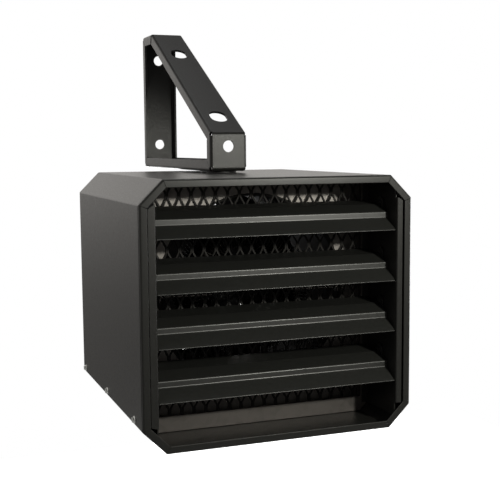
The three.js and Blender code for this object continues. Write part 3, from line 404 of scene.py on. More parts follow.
def cut_sheet(line, t, side, low, high, total):
    """A bent upright sheet whose ends follow the cabinet's chamfers."""
    rows = []
    for x, y in thick(line, t):
        rows.append([(side * x, y, max(low, x - total)), (side * x, y, min(high, total - x))])
    return Shape().rows(rows, wrap_rows=True, caps=True)


def hex_head(across, h0, h1, place):
    """A hexagon head with its corners turned down on top."""
    sides = 48
    r_in, r_out = across / 2, across / math.sqrt(3)
    rows = []
    for level, limit in ((h0, r_out), (h1 - across * 0.06, r_out), (h1, r_in * 0.97)):
        row = []
        for k in range(sides):
            a = math.tau * k / sides
            off_flat = (a % (math.pi / 3)) - math.pi / 6
            row.append(place(*polar(min(r_in / math.cos(off_flat), limit), a), level))
        rows.append(row)
    out = Shape().rows(rows, wrap_cols=True)
    out.faces.append(tuple(range(sides)))
    out.faces.append(tuple(2 * sides + k for k in reversed(range(sides))))
    return out


def washer(r0, r1, h0, h1, place):
    c = min(0.3, (h1 - h0) / 3)
    return Shape().lathe([(r0, h0), (r1 - c, h0), (r1, h0 + c), (r1, h1 - c), (r1 - c, h1),
                          (r0, h1)], 64, place)


def around(shape, count, offset, radius, profile, sides):
    """Adds the same small turned part at equal steps round the fan's axis."""
    for k in range(count):
        cu, cv = polar(radius, math.tau * (k + offset) / count)
        shape.lathe(profile, sides, lambda u, v, h: on_air(u + cu, v + cv, h))


def merge(*shapes):
    out = Shape()
    for s in shapes:
        out.add(s.verts, s.faces)
    return out


def punch(loop, place, level):
    """A closed tool that goes through a plate at a level."""
    return Shape().plate([loop], place, level - PUNCH, level + PUNCH)


def drill(ob, cutters):
    """Cuts closed tool meshes out of a piece and keeps the result as its mesh."""
    for shape in cutters:
        tool = shape.piece("tool")
        mod = ob.modifiers.new("cut", "BOOLEAN")
        mod.operation = "DIFFERENCE"
        mod.solver = "EXACT"
        mod.object = tool
        graph = bpy.context.evaluated_depsgraph_get()
        result = bpy.data.meshes.new_from_object(ob.evaluated_get(graph))
        ob.modifiers.clear()
        ob.data = result
        bpy.data.objects.remove(tool)
    weigh_normals(ob)
    smooth(ob.data)


# ------------------------------------------------------------------ materials

def feed(nt, node, inputs):
    """Sets a node's inputs: an output socket is linked, anything else is a plain value."""
    for key, value in inputs.items():
        if isinstance(value, bpy.types.NodeSocket):
            nt.links.new(value, node.inputs[key])
        else:
            node.inputs[key].default_value = value


def add_node(nt, kind, inputs, **settings):
    node = nt.nodes.new(kind)
    for key, value in settings.items():
        setattr(node, key, value)
    feed(nt, node, inputs)
    return node


def math_node(nt, operation, a, b):
    return add_node(nt, "ShaderNodeMath", {0: a, 1: b}, operation=operation).outputs["Value"]


def map_range(nt, source, low, high, low_value, high_value, blend="LINEAR"):
    inputs = {"Value": source, "From Min": low, "From Max": high,
              "To Min": low_value, "To Max": high_value}
    node = add_node(nt, "ShaderNodeMapRange", inputs, interpolation_type=blend)
    return node.outputs["Result"]


def material(name, color, rough, mottle, mottle_scale, rough_mottle, grain, grain_scale,
             metal=0.0, spec=0.5, wave=0.0, wave_scale=0.0, spangle=0.0):
    """A finish whose colour, gloss and surface vary by noise at the real scale."""
    m = bpy.data.materials.new(name)
    m.use_nodes = True
    nt = m.node_tree
    shader = nt.nodes["Principled BSDF"]
    feed(nt, shader, {"Metallic": metal, "Roughness": rough, "Specular IOR Level": spec,
                      "Base Color": (*color, 1)})
    coords = nt.nodes.new("ShaderNodeTexCoord").outputs["Object"]

    def noise(scale, detail):
        inputs = {"Scale": scale, "Detail": detail, "Vector": coords}
        return add_node(nt, "ShaderNodeTexNoise", inputs).outputs["Fac"]

    def spread(low, high):
        return map_range(nt, pattern, NOISE_LOW, NOISE_HIGH, low, high)

    pattern = noise(mottle_scale, 3.0)
    if spangle:
        cells = add_node(nt, "ShaderNodeTexVoronoi", {"Scale": spangle, "Vector": coords})
        tone = add_node(nt, "ShaderNodeSeparateColor", {"Color": cells.outputs["Color"]})
        part = math_node(nt, "MULTIPLY", tone.outputs["Red"], SPANGLE_SHARE)
        pattern = math_node(nt, "ADD", pattern, part)
    dark = (*(c * (1 - mottle) for c in color), 1)
    light = (*(min(1, c * (1 + mottle)) for c in color), 1)
    ramp = add_node(nt, "ShaderNodeMix", {"A": dark, "B": light, "Factor": spread(0, 1)},
                    data_type="RGBA")
    feed(nt, shader, {"Base Color": ramp.outputs["Result"],
                      "Roughness": spread(rough - rough_mottle, rough + rough_mottle)})
    bumps = [(grain, grain_scale), (wave, wave_scale)] if wave else [(grain, grain_scale)]
    bump = None
    for height, scale in bumps:
        inputs = {"Strength": 1.0, "Distance": height * MM, "Height": noise(scale, 2.0)}
        if bump:
            inputs["Normal"] = bump.outputs["Normal"]
        bump = add_node(nt, "ShaderNodeBump", inputs)
    feed(nt, shader, {"Normal": bump.outputs["Normal"]})
    return m


POWDER = dict(rough=0.38, mottle=0.10, mottle_scale=500, rough_mottle=0.04,
              grain=0.04, grain_scale=900, wave=0.08, wave_scale=45)
STEEL = dict(mottle=0.16, mottle_scale=60, rough_mottle=0.06, grain=0.02, grain_scale=700)
SPANGLED = dict(rough=0.48, metal=0.9, spangle=130, **STEEL)

COAT = material("charcoal_powder_coat", (0.0150, 0.0150, 0.0138), spec=0.30, **POWDER)
# The bracket takes a darker, less glossy copy of the cabinet's coat: painted shade on the bracket.
BRACKET_SHADE_COAT = material("bracket_coat_painted_shade", (0.0112, 0.0112, 0.0103), spec=0.24, **POWDER)
LOUVRE = material("satin_black_paint", (0.0165, 0.0170, 0.0155), 0.38, spec=0.60, mottle=0.08,
                  mottle_scale=300, rough_mottle=0.04, grain=0.03, grain_scale=1100,
                  wave=0.05, wave_scale=40)
GALV = material("galvanised_sheet", (0.155, 0.145, 0.137), **SPANGLED)
# The outlet tray takes a darker copy of the galvanised sheet: painted shade on the tray.
SHADED_GALV = material("galvanised_painted_shade", (0.100, 0.092, 0.086), **SPANGLED)
# A dark, rough steel, darker than galvanised sheet and zinc; the drum and the louvre rivets take
# it.
DULL = material("dull_steel", (0.024, 0.023, 0.022), 0.75, spec=0.10, **STEEL)
ZINC = material("zinc_plate", (0.72, 0.73, 0.70), 0.30, metal=0.6, mottle=0.12,
                mottle_scale=400, rough_mottle=0.06, grain=0.02, grain_scale=1500)
MESH = material("expanded_steel", (0.018, 0.017, 0.016), 0.55, spec=0.15, mottle=0.25,
                mottle_scale=160, rough_mottle=0.08, grain=0.05, grain_scale=900)
SHEATH = material("heat_dark_sheath", (0.045, 0.040, 0.036), 0.50, metal=0.6, mottle=0.30,
                  mottle_scale=90, rough_mottle=0.10, grain=0.03, grain_scale=1000)
ALUMINIUM = material("satin_aluminium", (0.130, 0.128, 0.124), 0.50, metal=0.35, mottle=0.08,
                     mottle_scale=120, rough_mottle=0.08, grain=0.02, grain_scale=1200)
ENAMEL = material("motor_enamel", (0.018, 0.018, 0.018), 0.50, spec=0.2, mottle=0.12,
                  mottle_scale=200, rough_mottle=0.06, grain=0.05, grain_scale=500)
PLASTIC = material("black_plastic", (0.014, 0.014, 0.015), 0.52, spec=0.4, mottle=0.10,
                   mottle_scale=300, rough_mottle=0.05, grain=0.04, grain_scale=1400)
LIGHT_PLASTIC = material("light_plastic", (0.60, 0.58, 0.50), 0.5, spec=0.4, mottle=0.05,
                         mottle_scale=150, rough_mottle=0.05, grain=0.03, grain_scale=1400)

SLOT_FINISH = {
    "black_coat": COAT, "louvre_coat": LOUVRE, "galvanised": GALV, "zinc": ZINC,
    "element_sheath": SHEATH, "mesh_steel": MESH, "fan_aluminium": ALUMINIUM,
    "motor_shell": ENAMEL, "black_plastic": PLASTIC, "light_plastic": LIGHT_PLASTIC,
}
for part in frame["record"]["subparts"]:
    node = frame["nodes"][part["node"]]
    node.data.materials.clear()
    node.data.materials.append(SLOT_FINISH[part["material_slot"]])


# ------------------------------------------------------------------ cabinet

def rim_segments(first, count):
    """The front flange, folded side by side with a fine mitred seam at every corner."""
    r, t = RIM_BEND, SHEET
    section = [(0, RIM_BACK)] + arc(r, r, r, 180, 270, 5)
    section += arc(RIM - t / 2, t / 2, t / 2, 270, 450, 8)
    section += arc(r, r, r - t, 270, 180, 4) + [(t, RIM_BACK)]
    out = Shape()
    for i in range(first, first + count):
        rows = []
        for d, y in section:
            corners = octagon(d)
            a, b = Vector(corners[i % 8]), Vector(corners[(i + 1) % 8])
            u = (b - a).normalized() * SEAM
            rows.append([on_y(*p, y) for p in (a + u, b - u)])
        out.rows(rows, wrap_rows=True, caps=True)
    return out


def wall(path):
    section = [(0, WALL_FRONT), (0, DEPTH), (SHEET, DEPTH), (SHEET, WALL_FRONT)]
    return bent(path, section, WALL_BEND, 7, False, on_y)


corner = octagon()
wrapper = merge(wall(corner[2:] + corner[:2]), rim_segments(3, 5))
wrapper = wrapper.piece("wrapper_shell", "cabinet", COAT, bevel=0.25)
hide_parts("cabinet_wrapper")

edge_x, edge_z = corner[3][0] - UNDER_GAP, corner[3][1] - UNDER_GAP
base = wall([(-edge_x, edge_z + SIDE_FLANGE), (-edge_x, edge_z), corner[1], corner[2],
             (edge_x, edge_z), (edge_x, edge_z + SIDE_FLANGE)])
laps = []
for s in (-1, 1):
    x = HALF_W - SHEET - FIT
    line = fillet([(x, SIDE_EDGE + 17), (x, SIDE_EDGE - 1), (x - 9, SIDE_EDGE - 10)], 2.5)
    laps.append(strip([(s * a, b) for a, b in line], -SHEET * s, on_y, *LAP_Y))
base = merge(base, rim_segments(0, 3), *laps)
base = base.piece("bottom_shell", "cabinet", COAT, bevel=0.25)
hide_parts("bottom_panel")

edge_section = [(0, DEPTH - REAR_FLANGE), (0, REAR_FACE)]
edge_section += arc(SHEET, REAR_FACE, SHEET, 180, 90, 4)
edge_section += [(2 * SHEET, DEPTH), (2 * SHEET, REAR_FACE), (SHEET, REAR_FACE - 0.3),
                 (SHEET, DEPTH - REAR_FLANGE)]
rear = bent(octagon(SHEET + FIT), edge_section, 2.0, 4, True, on_y)
rear.plate([octagon(2 * SHEET + FIT), circle(0, AXIS_Z, INTAKE_R + INTAKE_EDGE, 96),
            circle(BUSHING_X, BUSHING_Z, BUSHING_HOLE, 32)], on_y, REAR_FACE, DEPTH)
intake = [(INTAKE_EDGE, 0), (1.8, 0.5), (0.5, 1.8), (0, 3.5), (0, 9), (1.2, 9), (1.2, 3.5),
          (2, 2), (INTAKE_EDGE, SHEET)]
rear.lathe([(INTAKE_R + out, DEPTH - back) for out, back in intake], 96, on_air)
rear = rear.piece("rear_shell", "cabinet", COAT, bevel=0.2)
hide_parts("rear_panel")

for side, label in SIDES:
    for i, y in enumerate(SCREW_Y):
        put = beside(side, HALF_W, 1, y, SIDE_EDGE + SCREW_RISE)
        screw = merge(
            Shape().lathe([(CORE, 0), (4.25, 0), (4.25, 0.5), (3.7, 0.95), (CORE, 0.95)], 32, put),
            Shape().lathe([(CORE, -7), (1.2, -6.5), (2, -5), (2, 0), (CORE, 0)], 16, put))
        screw = screw.piece(f"hex_washer_screw_{label}_{i + 1}", "cabinet", ZINC)
        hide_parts(f"side_screw_{label}_{i + 1}")
        cap = hex_head(SCREW_ACROSS, 0.9, SCREW_TOP, put)
        cap = cap.piece(f"screw_head_{label}_{i + 1}", "cabinet", ZINC, bevel=0.12)
        u, v = SCREW_SLOT, 3.5
        drill(cap, [Shape().plate([[(-u, -v), (u, -v), (u, v), (-u, v)]], put,
                                  SLOT_FLOOR, SCREW_TOP + 1)])


# ------------------------------------------------------------------ bracket and swivel bolt

def strap_flange(k, side):
    """One edge flange of the strap, mitred with a slit at both of its ends."""
    n = len(LOOP)
    r, t, e = EDGE_R, STRAP_T, FLANGE_ROUND
    half = STRAP_HALF - (BRACE_TUCK if k == BRACE else 0)
    prof = arc(r, half - r, r, 180, 90, 6)
    prof += [(BEND, half), (FLANGE - e, half), (FLANGE, half - e), (FLANGE, half - t + e),
             (FLANGE - e, half - t), (BEND, half - t)]
    prof += arc(r, half - r, r - t, 90, 180, 3)
    a, b = Vector(LOOP[k]), Vector(LOOP[(k + 1) % n])
    u = (b - a).normalized()
    nrm = Vector((-u.y, u.x))

    def half_turn(i):
        p, q, s = Vector(LOOP[i - 1]), Vector(LOOP[i]), Vector(LOOP[(i + 1) % n])
        return math.tan((q - p).angle(s - q) / 2)

    rows = []
    for d, x in prof:
        reach = max(BEND, d)
        s0 = reach * half_turn(k) + SLIT
        s1 = (b - a).length - reach * half_turn((k + 1) % n) - SLIT
        rows.append([on_x(*(a + u * s + nrm * d), side * x) for s in (s0, s1)])
    return Shape().rows(rows, wrap_rows=True, caps=True)


brace_u = (Vector(LOOP[3]) - Vector(LOOP[4])).normalized()
brace_n = Vector((-brace_u.y, brace_u.x))


def on_brace(u, v, h):
    """Across and up the sloping brace, with levels from its outer face."""
    return on_x(*(Vector(LOOP[4]) + brace_u * v + brace_n * h), u)


def slot_loop(station):
    r, straight = SLOT_W / 2, (SLOT_L - SLOT_W) / 2
    return (arc(0, station + straight, r, 0, 180, 16)
            + arc(0, station - straight, r, 180, 360, 16))


web_half = STRAP_HALF - EDGE_R
web = bent(LOOP, [(0, -web_half), (0, web_half), (STRAP_T, web_half), (STRAP_T, -web_half)],
           BEND, 8, True, on_x)
web = web.piece("strap_web", "bracket", BRACKET_SHADE_COAT)
cuts = [punch(slot_loop(s), on_brace, 0) for s in SLOT_STATIONS]
for z in (STRAP_Z0 + WALL_HOLE, STRAP_Z1 - WALL_HOLE):
    cuts.append(punch(circle(0, z, HOLE_R), on_y, STRAP_Y1))
cuts.append(punch(circle(0, STRAP_Z0 + SQUARE_HOLE, HOLE_R), on_y, STRAP_Y0))
cuts.append(punch(circle(0, BOLT_Y, BOLT_HOLE_R, 32), on_z, STRAP_Z0))
drill(web, cuts)
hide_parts("mounting_bracket")

flanges = merge(*(strap_flange(k, s) for k in range(len(LOOP)) for s in (-1, 1)))
flanges = flanges.piece("strap_flanges", "bracket", BRACKET_SHADE_COAT, bevel=0.2)

seat = STRAP_Z0 + STRAP_T
head_z = seat + WASHER_T
# The wide washer is black so that it stands in for the shade in the gap under the strap: painted
# shade.
swivel = washer(BOLT_HOLE_R, WIDE_WASHER_R, HALF_H, STRAP_Z0, at_bolt)
swivel = swivel.piece("wide_washer", "bracket", PLASTIC)
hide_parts("swivel_washer")
flat = washer(BOLT_HOLE_R, WASHER_R, seat, head_z, at_bolt)
flat = flat.piece("plain_washer", "bracket", ZINC)
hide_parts("bolt_washer")
shank = [(CORE, BOLT_END), (BOLT_R - 0.6, BOLT_END), (BOLT_R, BOLT_END + 0.7),
         (BOLT_R, head_z + 0.5), (CORE, head_z + 0.5)]
head = merge(hex_head(BOLT_ACROSS, head_z, head_z + BOLT_HEAD, at_bolt),
             Shape().lathe(shank, 32, at_bolt))
head = head.piece("swivel_bolt", "bracket", ZINC, bevel=0.15)
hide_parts("pivot_bolt")


# ------------------------------------------------------------------ louvres

tip = Vector(BLADE[-1])
lip = (tip - Vector(BLADE[-2])).normalized()
hem_centre = tip + Vector((-lip.y, lip.x)) * HEM_R
blade_line = fillet(BLADE, BLADE_BEND, 6)
blade_line += [turned(hem_centre, tip - hem_centre, math.pi * k / 8) for k in range(1, 9)]
blade_line.append(tuple(Vector(blade_line[-1]) - lip * HEM))

for i, z in enumerate(PIVOTS):
    blade = strip([(PIVOT_Y + a, z + b) for a, b in blade_line], LOUVRE_T, on_x,
                  -LOUVRE_HALF, LOUVRE_HALF)
    ear = arc(PIVOT_Y, z, EAR_R, 0, 180, 20)
    ear += [(PIVOT_Y - EAR_R, z - EAR_FRONT), (PIVOT_Y + EAR_R, z - EAR_BACK)]
    for s in (-1, 1):
        blade.plate([ear], on_x, *sorted((s * LOUVRE_HALF, s * EAR_X)))
    blade = blade.piece(f"louvre_blade_{i + 1}", f"louvre_{i + 1}", LOUVRE, bevel=0.2)
    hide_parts(f"louvre_{i + 1}")
    for side, label in SIDES:
        rivet = Shape().lathe([(CORE, 1.5), (0.9, 1.42), (1.6, 1.15), (2.2, 0.7), (2.5, 0.2),
                               (2.5, 0), (1.5, 0), (1.5, -5.4), (CORE, -5.4)], 24,
                              beside(side, EAR_X, -1, PIVOT_Y, z))
        rivet = rivet.piece(f"louvre_rivet_{label}_{i + 1}", "cabinet", DULL)
        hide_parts(f"louvre_pin_{label}_{i + 1}")

tall = (-WEB_REACH, WEB_REACH, chamfer_sum(SHEET + 0.4))
short = (FRONT_LOW, FRONT_HIGH, chamfer_sum(RIM + 1.0))
for (side, label), far in zip(SIDES, FRONT_EDGES):
    front = fillet([(CHANNEL_X, CHANNEL_SPLIT), (CHANNEL_X, CHANNEL_FRONT),
                    (far, CHANNEL_FRONT)], 1.8)
    web_line = [(CHANNEL_X, CHANNEL_END), (CHANNEL_X, CHANNEL_SPLIT - 0.1)]
    back = [(CHANNEL_X - 6.8, CHANNEL_REAR), (CHANNEL_X + 0.3, CHANNEL_REAR)]
    channel = merge(
        cut_sheet(front, CHANNEL_T, side, *short),
        cut_sheet(web_line, CHANNEL_T, side, *tall),
        cut_sheet(back, REAR_T, side, *tall))
    channel = channel.piece(f"side_channel_{label}", "cabinet", COAT, bevel=0.2)
    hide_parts(f"louvre_channel_{label}")


# ------------------------------------------------------------------ outlet frame and guard

inside = chamfer_sum(SHEET + FIT)
tray_path = clipped_square(CHANNEL_X - FIT, FRAME_LOW, FRAME_HIGH, inside)
tray_front, tray_back = FRAME_Y + PLATE_T, FRAME_Y + FRAME_DEPTH
tray = bent(tray_path, [(0, tray_front), (0, tray_back), (PLATE_T, tray_back),
                        (PLATE_T, tray_front)], 1.6, 4, True, on_y)
opening = []
for cx, cz, a in ((OPEN_X, OPEN_LOW, 270), (OPEN_X, OPEN_HIGH, 0), (-OPEN_X, OPEN_HIGH, 90),
                  (-OPEN_X, OPEN_LOW, 180)):
    opening += arc(cx, cz, OPEN_R, a, a + 90, 5)
tray.plate([inset(tray_path, 0.2), opening], on_y, FRAME_Y, tray_front)
tray = tray.piece("outlet_tray", "cabinet", SHADED_GALV, bevel=0.2)
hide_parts("outlet_frame")


def guard_strand(j):
    """One slit strand: it runs upright, leaning to the bond on either side in turn."""
    c, s = math.cos(TWIST), math.sin(TWIST)
    run, rise = SHORT_WAY / 2, LONG_WAY / 2
    w = STRAND * c / 2
    x_left, x_right = run * j + w, run * (j + 1) - w
    phase = MESH_PHASE if j % 2 == 0 else MESH_PHASE + rise
    line = []
    k = math.floor((MESH_LOW - phase) / LONG_WAY) - 1
    while phase + k * LONG_WAY < MESH_HIGH + LONG_WAY:
        z = phase + k * LONG_WAY
        line += [(x_right, z - BOND), (x_right, z + BOND)]
        line += [(x_left, z + rise - BOND), (x_left, z + rise + BOND)]
        k += 1
    pts = [p for p in fillet(line, 5.0, 4) if MESH_LOW <= p[1] <= MESH_HIGH]
    middle, swing = (x_left + x_right) / 2, (x_right - x_left) / 2
    hw, ht, e = STRAND / 2, MESH_T / 2, STRAND_ROUND
    ring = [(-hw, -ht + e), (-hw + e, -ht), (hw - e, -ht), (hw, -ht + e),
            (hw, ht - e), (hw - e, ht), (-hw + e, ht), (-hw, ht - e)]
    rows = [[] for _ in ring]
    for n, (x, z) in enumerate(pts):
        t = (Vector(pts[min(n + 1, len(pts) - 1)]) - Vector(pts[max(n - 1, 0)])).normalized()
        depth = -(x - middle) / swing * STRAND / 2 * s
        for row, (a, b) in zip(rows, ring):
            side, out = a * c - b * s, a * s + b * c
            row.append((x + t.y * side, MESH_Y + depth + out, z - t.x * side))
    return rows


guard = Shape()
last = math.floor(MESH_HALF / (SHORT_WAY / 2))
for j in range(-last, last):
    guard.rows(guard_strand(j), wrap_rows=True, caps=True)
for x in (-MESH_HALF + MESH_EDGE_R, MESH_HALF - MESH_EDGE_R):
    guard.tube([(x, MESH_Y, MESH_LOW), (x, MESH_Y, MESH_HIGH)], MESH_EDGE_R)
guard = guard.piece("expanded_metal", "cabinet", MESH, angle=50)
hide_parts("expanded_metal_guard")


# ------------------------------------------------------------------ shroud and drum

mouth = DRUM_R + SHROUD_LIP
shroud = Shape().plate([clipped_square(SHROUD_HALF, SHROUD_LOW, FRAME_HIGH, inside),
                        circle(0, AXIS_Z, mouth - 0.4, 96)], on_y, SHROUD_Y, SHROUD_Y + PLATE_T)
shroud = shroud.piece("shroud_plate", "cabinet", GALV, angle=40)
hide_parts("outlet_shroud")

bell_y = SHROUD_Y + SHROUD_LIP
profile = arc(mouth, bell_y, SHROUD_LIP, 255, 180, 6)
profile += [(DRUM_R, DRUM_END - 3), (DRUM_R + 0.8, DRUM_END - 1.4), (DRUM_R, DRUM_END),
            (DRUM_R + PLATE_T, DRUM_END), (DRUM_R + PLATE_T, bell_y)]
profile += arc(mouth, bell_y, SHROUD_LIP - PLATE_T, 180, 255, 6)
drum = Shape().lathe(profile, 96, on_air).piece("drum_wall", "cabinet", DULL, angle=40)
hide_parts("shroud_drum")


# ------------------------------------------------------------------ heating elements

ring_start = -math.pi / 2 + RING_GAP / 2
ring_span = math.tau - RING_GAP


def fin(a, y):
    """Rows of a thin disc round the element's tube, at an angle of its ring."""
    middle = Vector(on_air(*polar(RING_R, a), y))
    rad, tan = Vector((math.cos(a), 0, math.sin(a))), Vector((-math.sin(a), 0, math.cos(a)))
    rows = []
    for r, h in ((TUBE_R, -FIN_HALF_T), (FIN_R, -FIN_HALF_T), (FIN_R, FIN_HALF_T),
                 (TUBE_R, FIN_HALF_T)):
        turns = [polar(r, math.tau * q / FIN_SIDES) for q in range(FIN_SIDES)]
        rows.append([middle + rad * u + tan * h + Vector((0, v, 0)) for u, v in turns])
    return rows


for i, y in enumerate(RING_Y):
    pts = [on_air(*polar(RING_R, ring_start + ring_span * k / RING_STEPS), y)
           for k in range(RING_STEPS + 1)]
    (x0, _, z0), (x1, _, z1) = pts[0], pts[-1]
    low = AXIS_Z - DRUM_R - LEAD_DROP
    lead_in = [(x0, y, low), (x0, y, z0 - 6), (x0 + 0.4, y, z0 - 2.5)]
    lead_out = [(x1 - 0.4, y, z1 - 2.5), (x1, y, z1 - 6), (x1, y, low)]
    element = Shape().tube(lead_in + pts[1:-1] + lead_out, TUBE_R, 12)
    for k in range(FIN_COUNT):
        a = ring_start + ring_span * (k + 0.5) / FIN_COUNT
        if abs(math.sin(a)) >= SUPPORT_GAP:
            element.rows(fin(a, y), wrap_cols=True)
    element = element.piece(f"finned_element_{i + 1}", "cabinet", SHEATH, angle=40)
    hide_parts(f"heating_element_{i + 1}")


# ------------------------------------------------------------------ fan and motor

def blade_side(turn, sign):
    """One face of a fan blade, as rows from its root to its tip."""
    rows = []
    for i in range(STATIONS):
        s = i / (STATIONS - 1)
        radius = ROOT_R + (FAN_R - ROOT_R) * s
        chord = ROOT_CHORD + MORE_CHORD * math.sqrt(s)
        pitch = math.radians(ROOT_PITCH - LESS_PITCH * s)
        row = []
        for k in range(CHORD_STEPS + 1):
            u = k / CHORD_STEPS - 0.5
            camber = CAMBER * chord * (1 - 4 * u * u)
            along = u * chord
            y = (FAN_Y + along * math.sin(pitch)
                 + (camber + sign * BLADE_HALF_T) * math.cos(pitch))
            sweep = along * math.cos(pitch) - camber * math.sin(pitch)
            r = radius - TIP_ROUND * abs(u) ** 3 * s ** 6
            row.append(on_air(*polar(r, turn + sweep / radius * WRAP), y))
        rows.append(row)
    return rows


def fan_blade(turn):
    front, back = blade_side(turn, -1), blade_side(turn, 1)
    out = Shape().rows(front).rows(back)
    out.rows([front[0], back[0]]).rows([front[-1], back[-1]])
    out.rows([[r[0] for r in front], [r[0] for r in back]])
    return out.rows([[r[-1] for r in front], [r[-1] for r in back]])


fan = merge(*(fan_blade(FIRST_BLADE + math.tau * k / BLADES) for k in range(BLADES)))
fan.lathe([(4.3, 208), (24, 208), (27.5, 209), (29.4, 211.2), (30, 214), (30, 232), (28, 232),
           (28, 214), (26, 211.5), (10, 210.5), (10, 230), (4.3, 230)], 64, on_air)
around(fan, BLADES, 0.5, 20, [(CORE, 207.2), (1.6, 207.2), (2.4, 208), (CORE, 208)], 16)
fan = fan.piece("pressed_fan", "fan", ALUMINIUM, angle=35)
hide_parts("axial_fan")

motor = Shape().lathe(
    [(4.5, 240), (15, 240), (15, 244), (16.5, 246), (34, 246), (42, 248.5), (45, 252),
     (46, 257), (46, 281.5), (45, 282), (45, 284), (46, 284.5), (46, 310), (45, 314),
     (42, 317.5), (34, 320), (12, 320), (CORE, 320), (CORE, 262), (4.5, 260)], 72, on_air)
around(motor, 4, 1 / 12, 31,
       [(CORE, 244.2), (2.4, 244.2), (2.9, 245), (2.9, 247), (CORE, 247)], 12)
motor = motor.piece("motor_housing", "cabinet", ENAMEL, angle=35)
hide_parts("fan_motor")

rail = strip(fillet([(329, 140), (329, 128), (320, 118), (320, -102), (329, -112),
                     (329, -140)], 3.0), RAIL_T, on_x, -RAIL_HALF, RAIL_HALF)
rail = rail.piece("motor_rail", "cabinet", GALV, bevel=0.3)
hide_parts("motor_strap")


# ------------------------------------------------------------------ rear guard and bushing

def wire_ring(r, y, sides):
    return [on_air(u, v, y) for u, v in circle(0, 0, r, sides)]


pitch = (GUARD_R - GUARD_INNER) / GUARD_RINGS
radii = [GUARD_R - 4 - pitch * k for k in range(1, GUARD_RINGS + 1)]
wires = Shape().tube(wire_ring(GUARD_R, GUARD_SEAT, 96), RIM_WIRE_R, closed=True)
for r in radii:
    wires.tube(wire_ring(r, GUARD_CROWN, 72), RING_WIRE_R, closed=True)
spoke = fillet([(GUARD_R + 2, GUARD_SEAT - 0.1), (GUARD_R - 5, GUARD_CROWN + 0.6),
                (radii[-1] - 3, GUARD_CROWN + 0.6)], 4)
for k in range(4):
    a = math.pi / 4 + k * math.pi / 2
    wires.tube([on_air(*polar(r, a), y - 0.3) for r, y in spoke], SPOKE_R)
wires = wires.piece("finger_guard", "cabinet", LOUVRE, angle=40)
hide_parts("rear_guard")

bushing = Shape().lathe([(8, 326), (10.5, 326), (10.8, 331), (10.8, 333), (14.5, 333),
                         (14.5, 334.2), (13.6, 335.2), (9.2, 335.5), (8, 334.8)], 48, at_bushing)
bushing = bushing.piece("cable_grommet", "cabinet", PLASTIC, angle=35)
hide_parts("cable_bushing")


# ------------------------------------------------------------------ stage

def camera_ray(nt):
    return nt.nodes.new("ShaderNodeLightPath").outputs["Is Camera Ray"]


def mix(nt, fac, first, second):
    inputs = {"Fac": fac, 1: first, 2: second}
    return add_node(nt, "ShaderNodeMixShader", inputs).outputs["Shader"]


floor_me = bpy.data.meshes.new("floor")
corners = ((-1.0, -1.1), (1.0, -1.1), (1.0, 0.7), (-1.0, 0.7))
floor_me.from_pydata([(x, y, -0.78) for x, y in corners], [], [(0, 1, 2, 3)])
floor = bpy.data.objects.new("floor", floor_me)
scene.collection.objects.link(floor)

# The camera sees the floor glow, so that it ends in the same white as the background.
pale = bpy.data.materials.new("pale_floor")
pale.use_nodes = True
nt = pale.node_tree
matt = nt.nodes["Principled BSDF"]
feed(nt, matt, {"Base Color": (0.8, 0.8, 0.79, 1), "Roughness": 0.9})
glow = add_node(nt, "ShaderNodeEmission", {"Strength": 0.85})
both = {0: matt.outputs["BSDF"], 1: glow.outputs["Emission"]}
lit = add_node(nt, "ShaderNodeAddShader", both)
seen = mix(nt, camera_ray(nt), matt.outputs["BSDF"], lit.outputs["Shader"])
feed(nt, nt.nodes["Material Output"], {"Surface": seen})
floor_me.materials.append(pale)

# Three worlds: white behind the part, a dim fill for matt light, and a room for reflections.
world = bpy.data.worlds.new("studio")
scene.world = world
world.use_nodes = True
nt = world.node_tree
nt.nodes.clear()


def background(color, strength):
    inputs = {"Color": (*color, 1), "Strength": strength}
    return add_node(nt, "ShaderNodeBackground", inputs).outputs["Background"]


def ease(axis, low, high, low_value, high_value):
    return map_range(nt, axes[axis], low, high, low_value, high_value, "SMOOTHSTEP")


generated = nt.nodes.new("ShaderNodeTexCoord").outputs["Generated"]
axes = add_node(nt, "ShaderNodeSeparateXYZ", {"Vector": generated}).outputs
rise = ease("Z", -0.16, 0.08, 0.19, 1.28)
fall = ease("Z", 0.30, 0.62, 1.0, 0.15)
behind = ease("Y", -0.2, 0.35, 0.30, 1.0)
strength = math_node(nt, "MULTIPLY", math_node(nt, "MULTIPLY", rise, fall), behind)
rays = nt.nodes.new("ShaderNodeLightPath").outputs
mirrored = math_node(nt, "MAXIMUM", rays["Is Glossy Ray"], rays["Is Transmission Ray"])
unseen = mix(nt, mirrored, background((1.0, 0.99, 0.97), 0.15),
             background((1.0, 0.965, 0.92), strength))
add_node(nt, "ShaderNodeOutputWorld",
         {"Surface": mix(nt, camera_ray(nt), unseen, background((1, 1, 1), 1.0))})


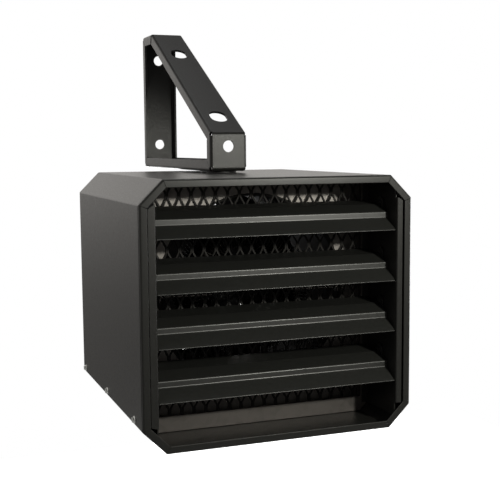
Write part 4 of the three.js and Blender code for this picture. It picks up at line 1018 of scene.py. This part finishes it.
# ------------------------------------------------------------------ lights and camera

def lamp(name, kind, at, aim, energy, color=(1, 1, 1)):
    """A light at one place that faces another, both in the heater's frame."""
    data = bpy.data.lights.new(name, kind)
    data.energy = energy
    data.color = color
    ob = bpy.data.objects.new(name, data)
    scene.collection.objects.link(ob)
    start, end = TO_PART @ Vector(at), TO_PART @ Vector(aim)
    ob.location = start
    ob.rotation_euler = (end - start).to_track_quat("-Z", "Y").to_euler()
    return data


def panel(name, at, aim, size, energy, color=(1, 1, 1)):
    data = lamp(name, "AREA", at, aim, energy, color)
    data.shape = "RECTANGLE"
    data.size, data.size_y = size[0] * MM, size[1] * MM


key = lamp("key", "SPOT", (318, -745, 284), (0, 40, 0), 25, (1.0, 0.99, 0.90))
key.spot_size = math.radians(41)
key.spot_blend = 0.6
key.shadow_soft_size = 0.022
panel("top", (-100, 350, 1300), (0, 170, 100), (1300, 900), 5.0)
panel("left", (-1200, -150, 600), (-165, 170, 0), (700, 700), 2.0, (1.0, 0.98, 0.95))
panel("right", (1250, 250, -20), (165, 200, -20), (900, 320), 9.0)
panel("rear", (400, 1500, -120), (60, 333, -60), (900, 400), 10.0)

camera_data = bpy.data.cameras.new("camera")
camera_data.sensor_width = SENSOR
camera_data.lens = SENSOR * FOCAL_LENGTH / PHOTO_WIDTH
camera_data.clip_start = 0.05
camera_data.clip_end = 30
camera = bpy.data.objects.new("camera", camera_data)
scene.collection.objects.link(camera)
yaw, dip, roll = (math.radians(a) for a in CAMERA_TURN)
forward = Vector((math.sin(yaw) * math.cos(dip), math.cos(yaw) * math.cos(dip), math.sin(dip)))
level = Vector((math.cos(yaw), -math.sin(yaw), 0))
upright = level.cross(forward)
right = level * math.cos(roll) + upright * math.sin(roll)
above = upright * math.cos(roll) - level * math.sin(roll)
turn = Matrix((right, above, -forward)).transposed().to_4x4()
camera.matrix_world = Matrix.Translation(TO_PART @ Vector(CAMERA_AT)) @ turn
scene.camera = camera

scene.view_settings.view_transform = "Standard"
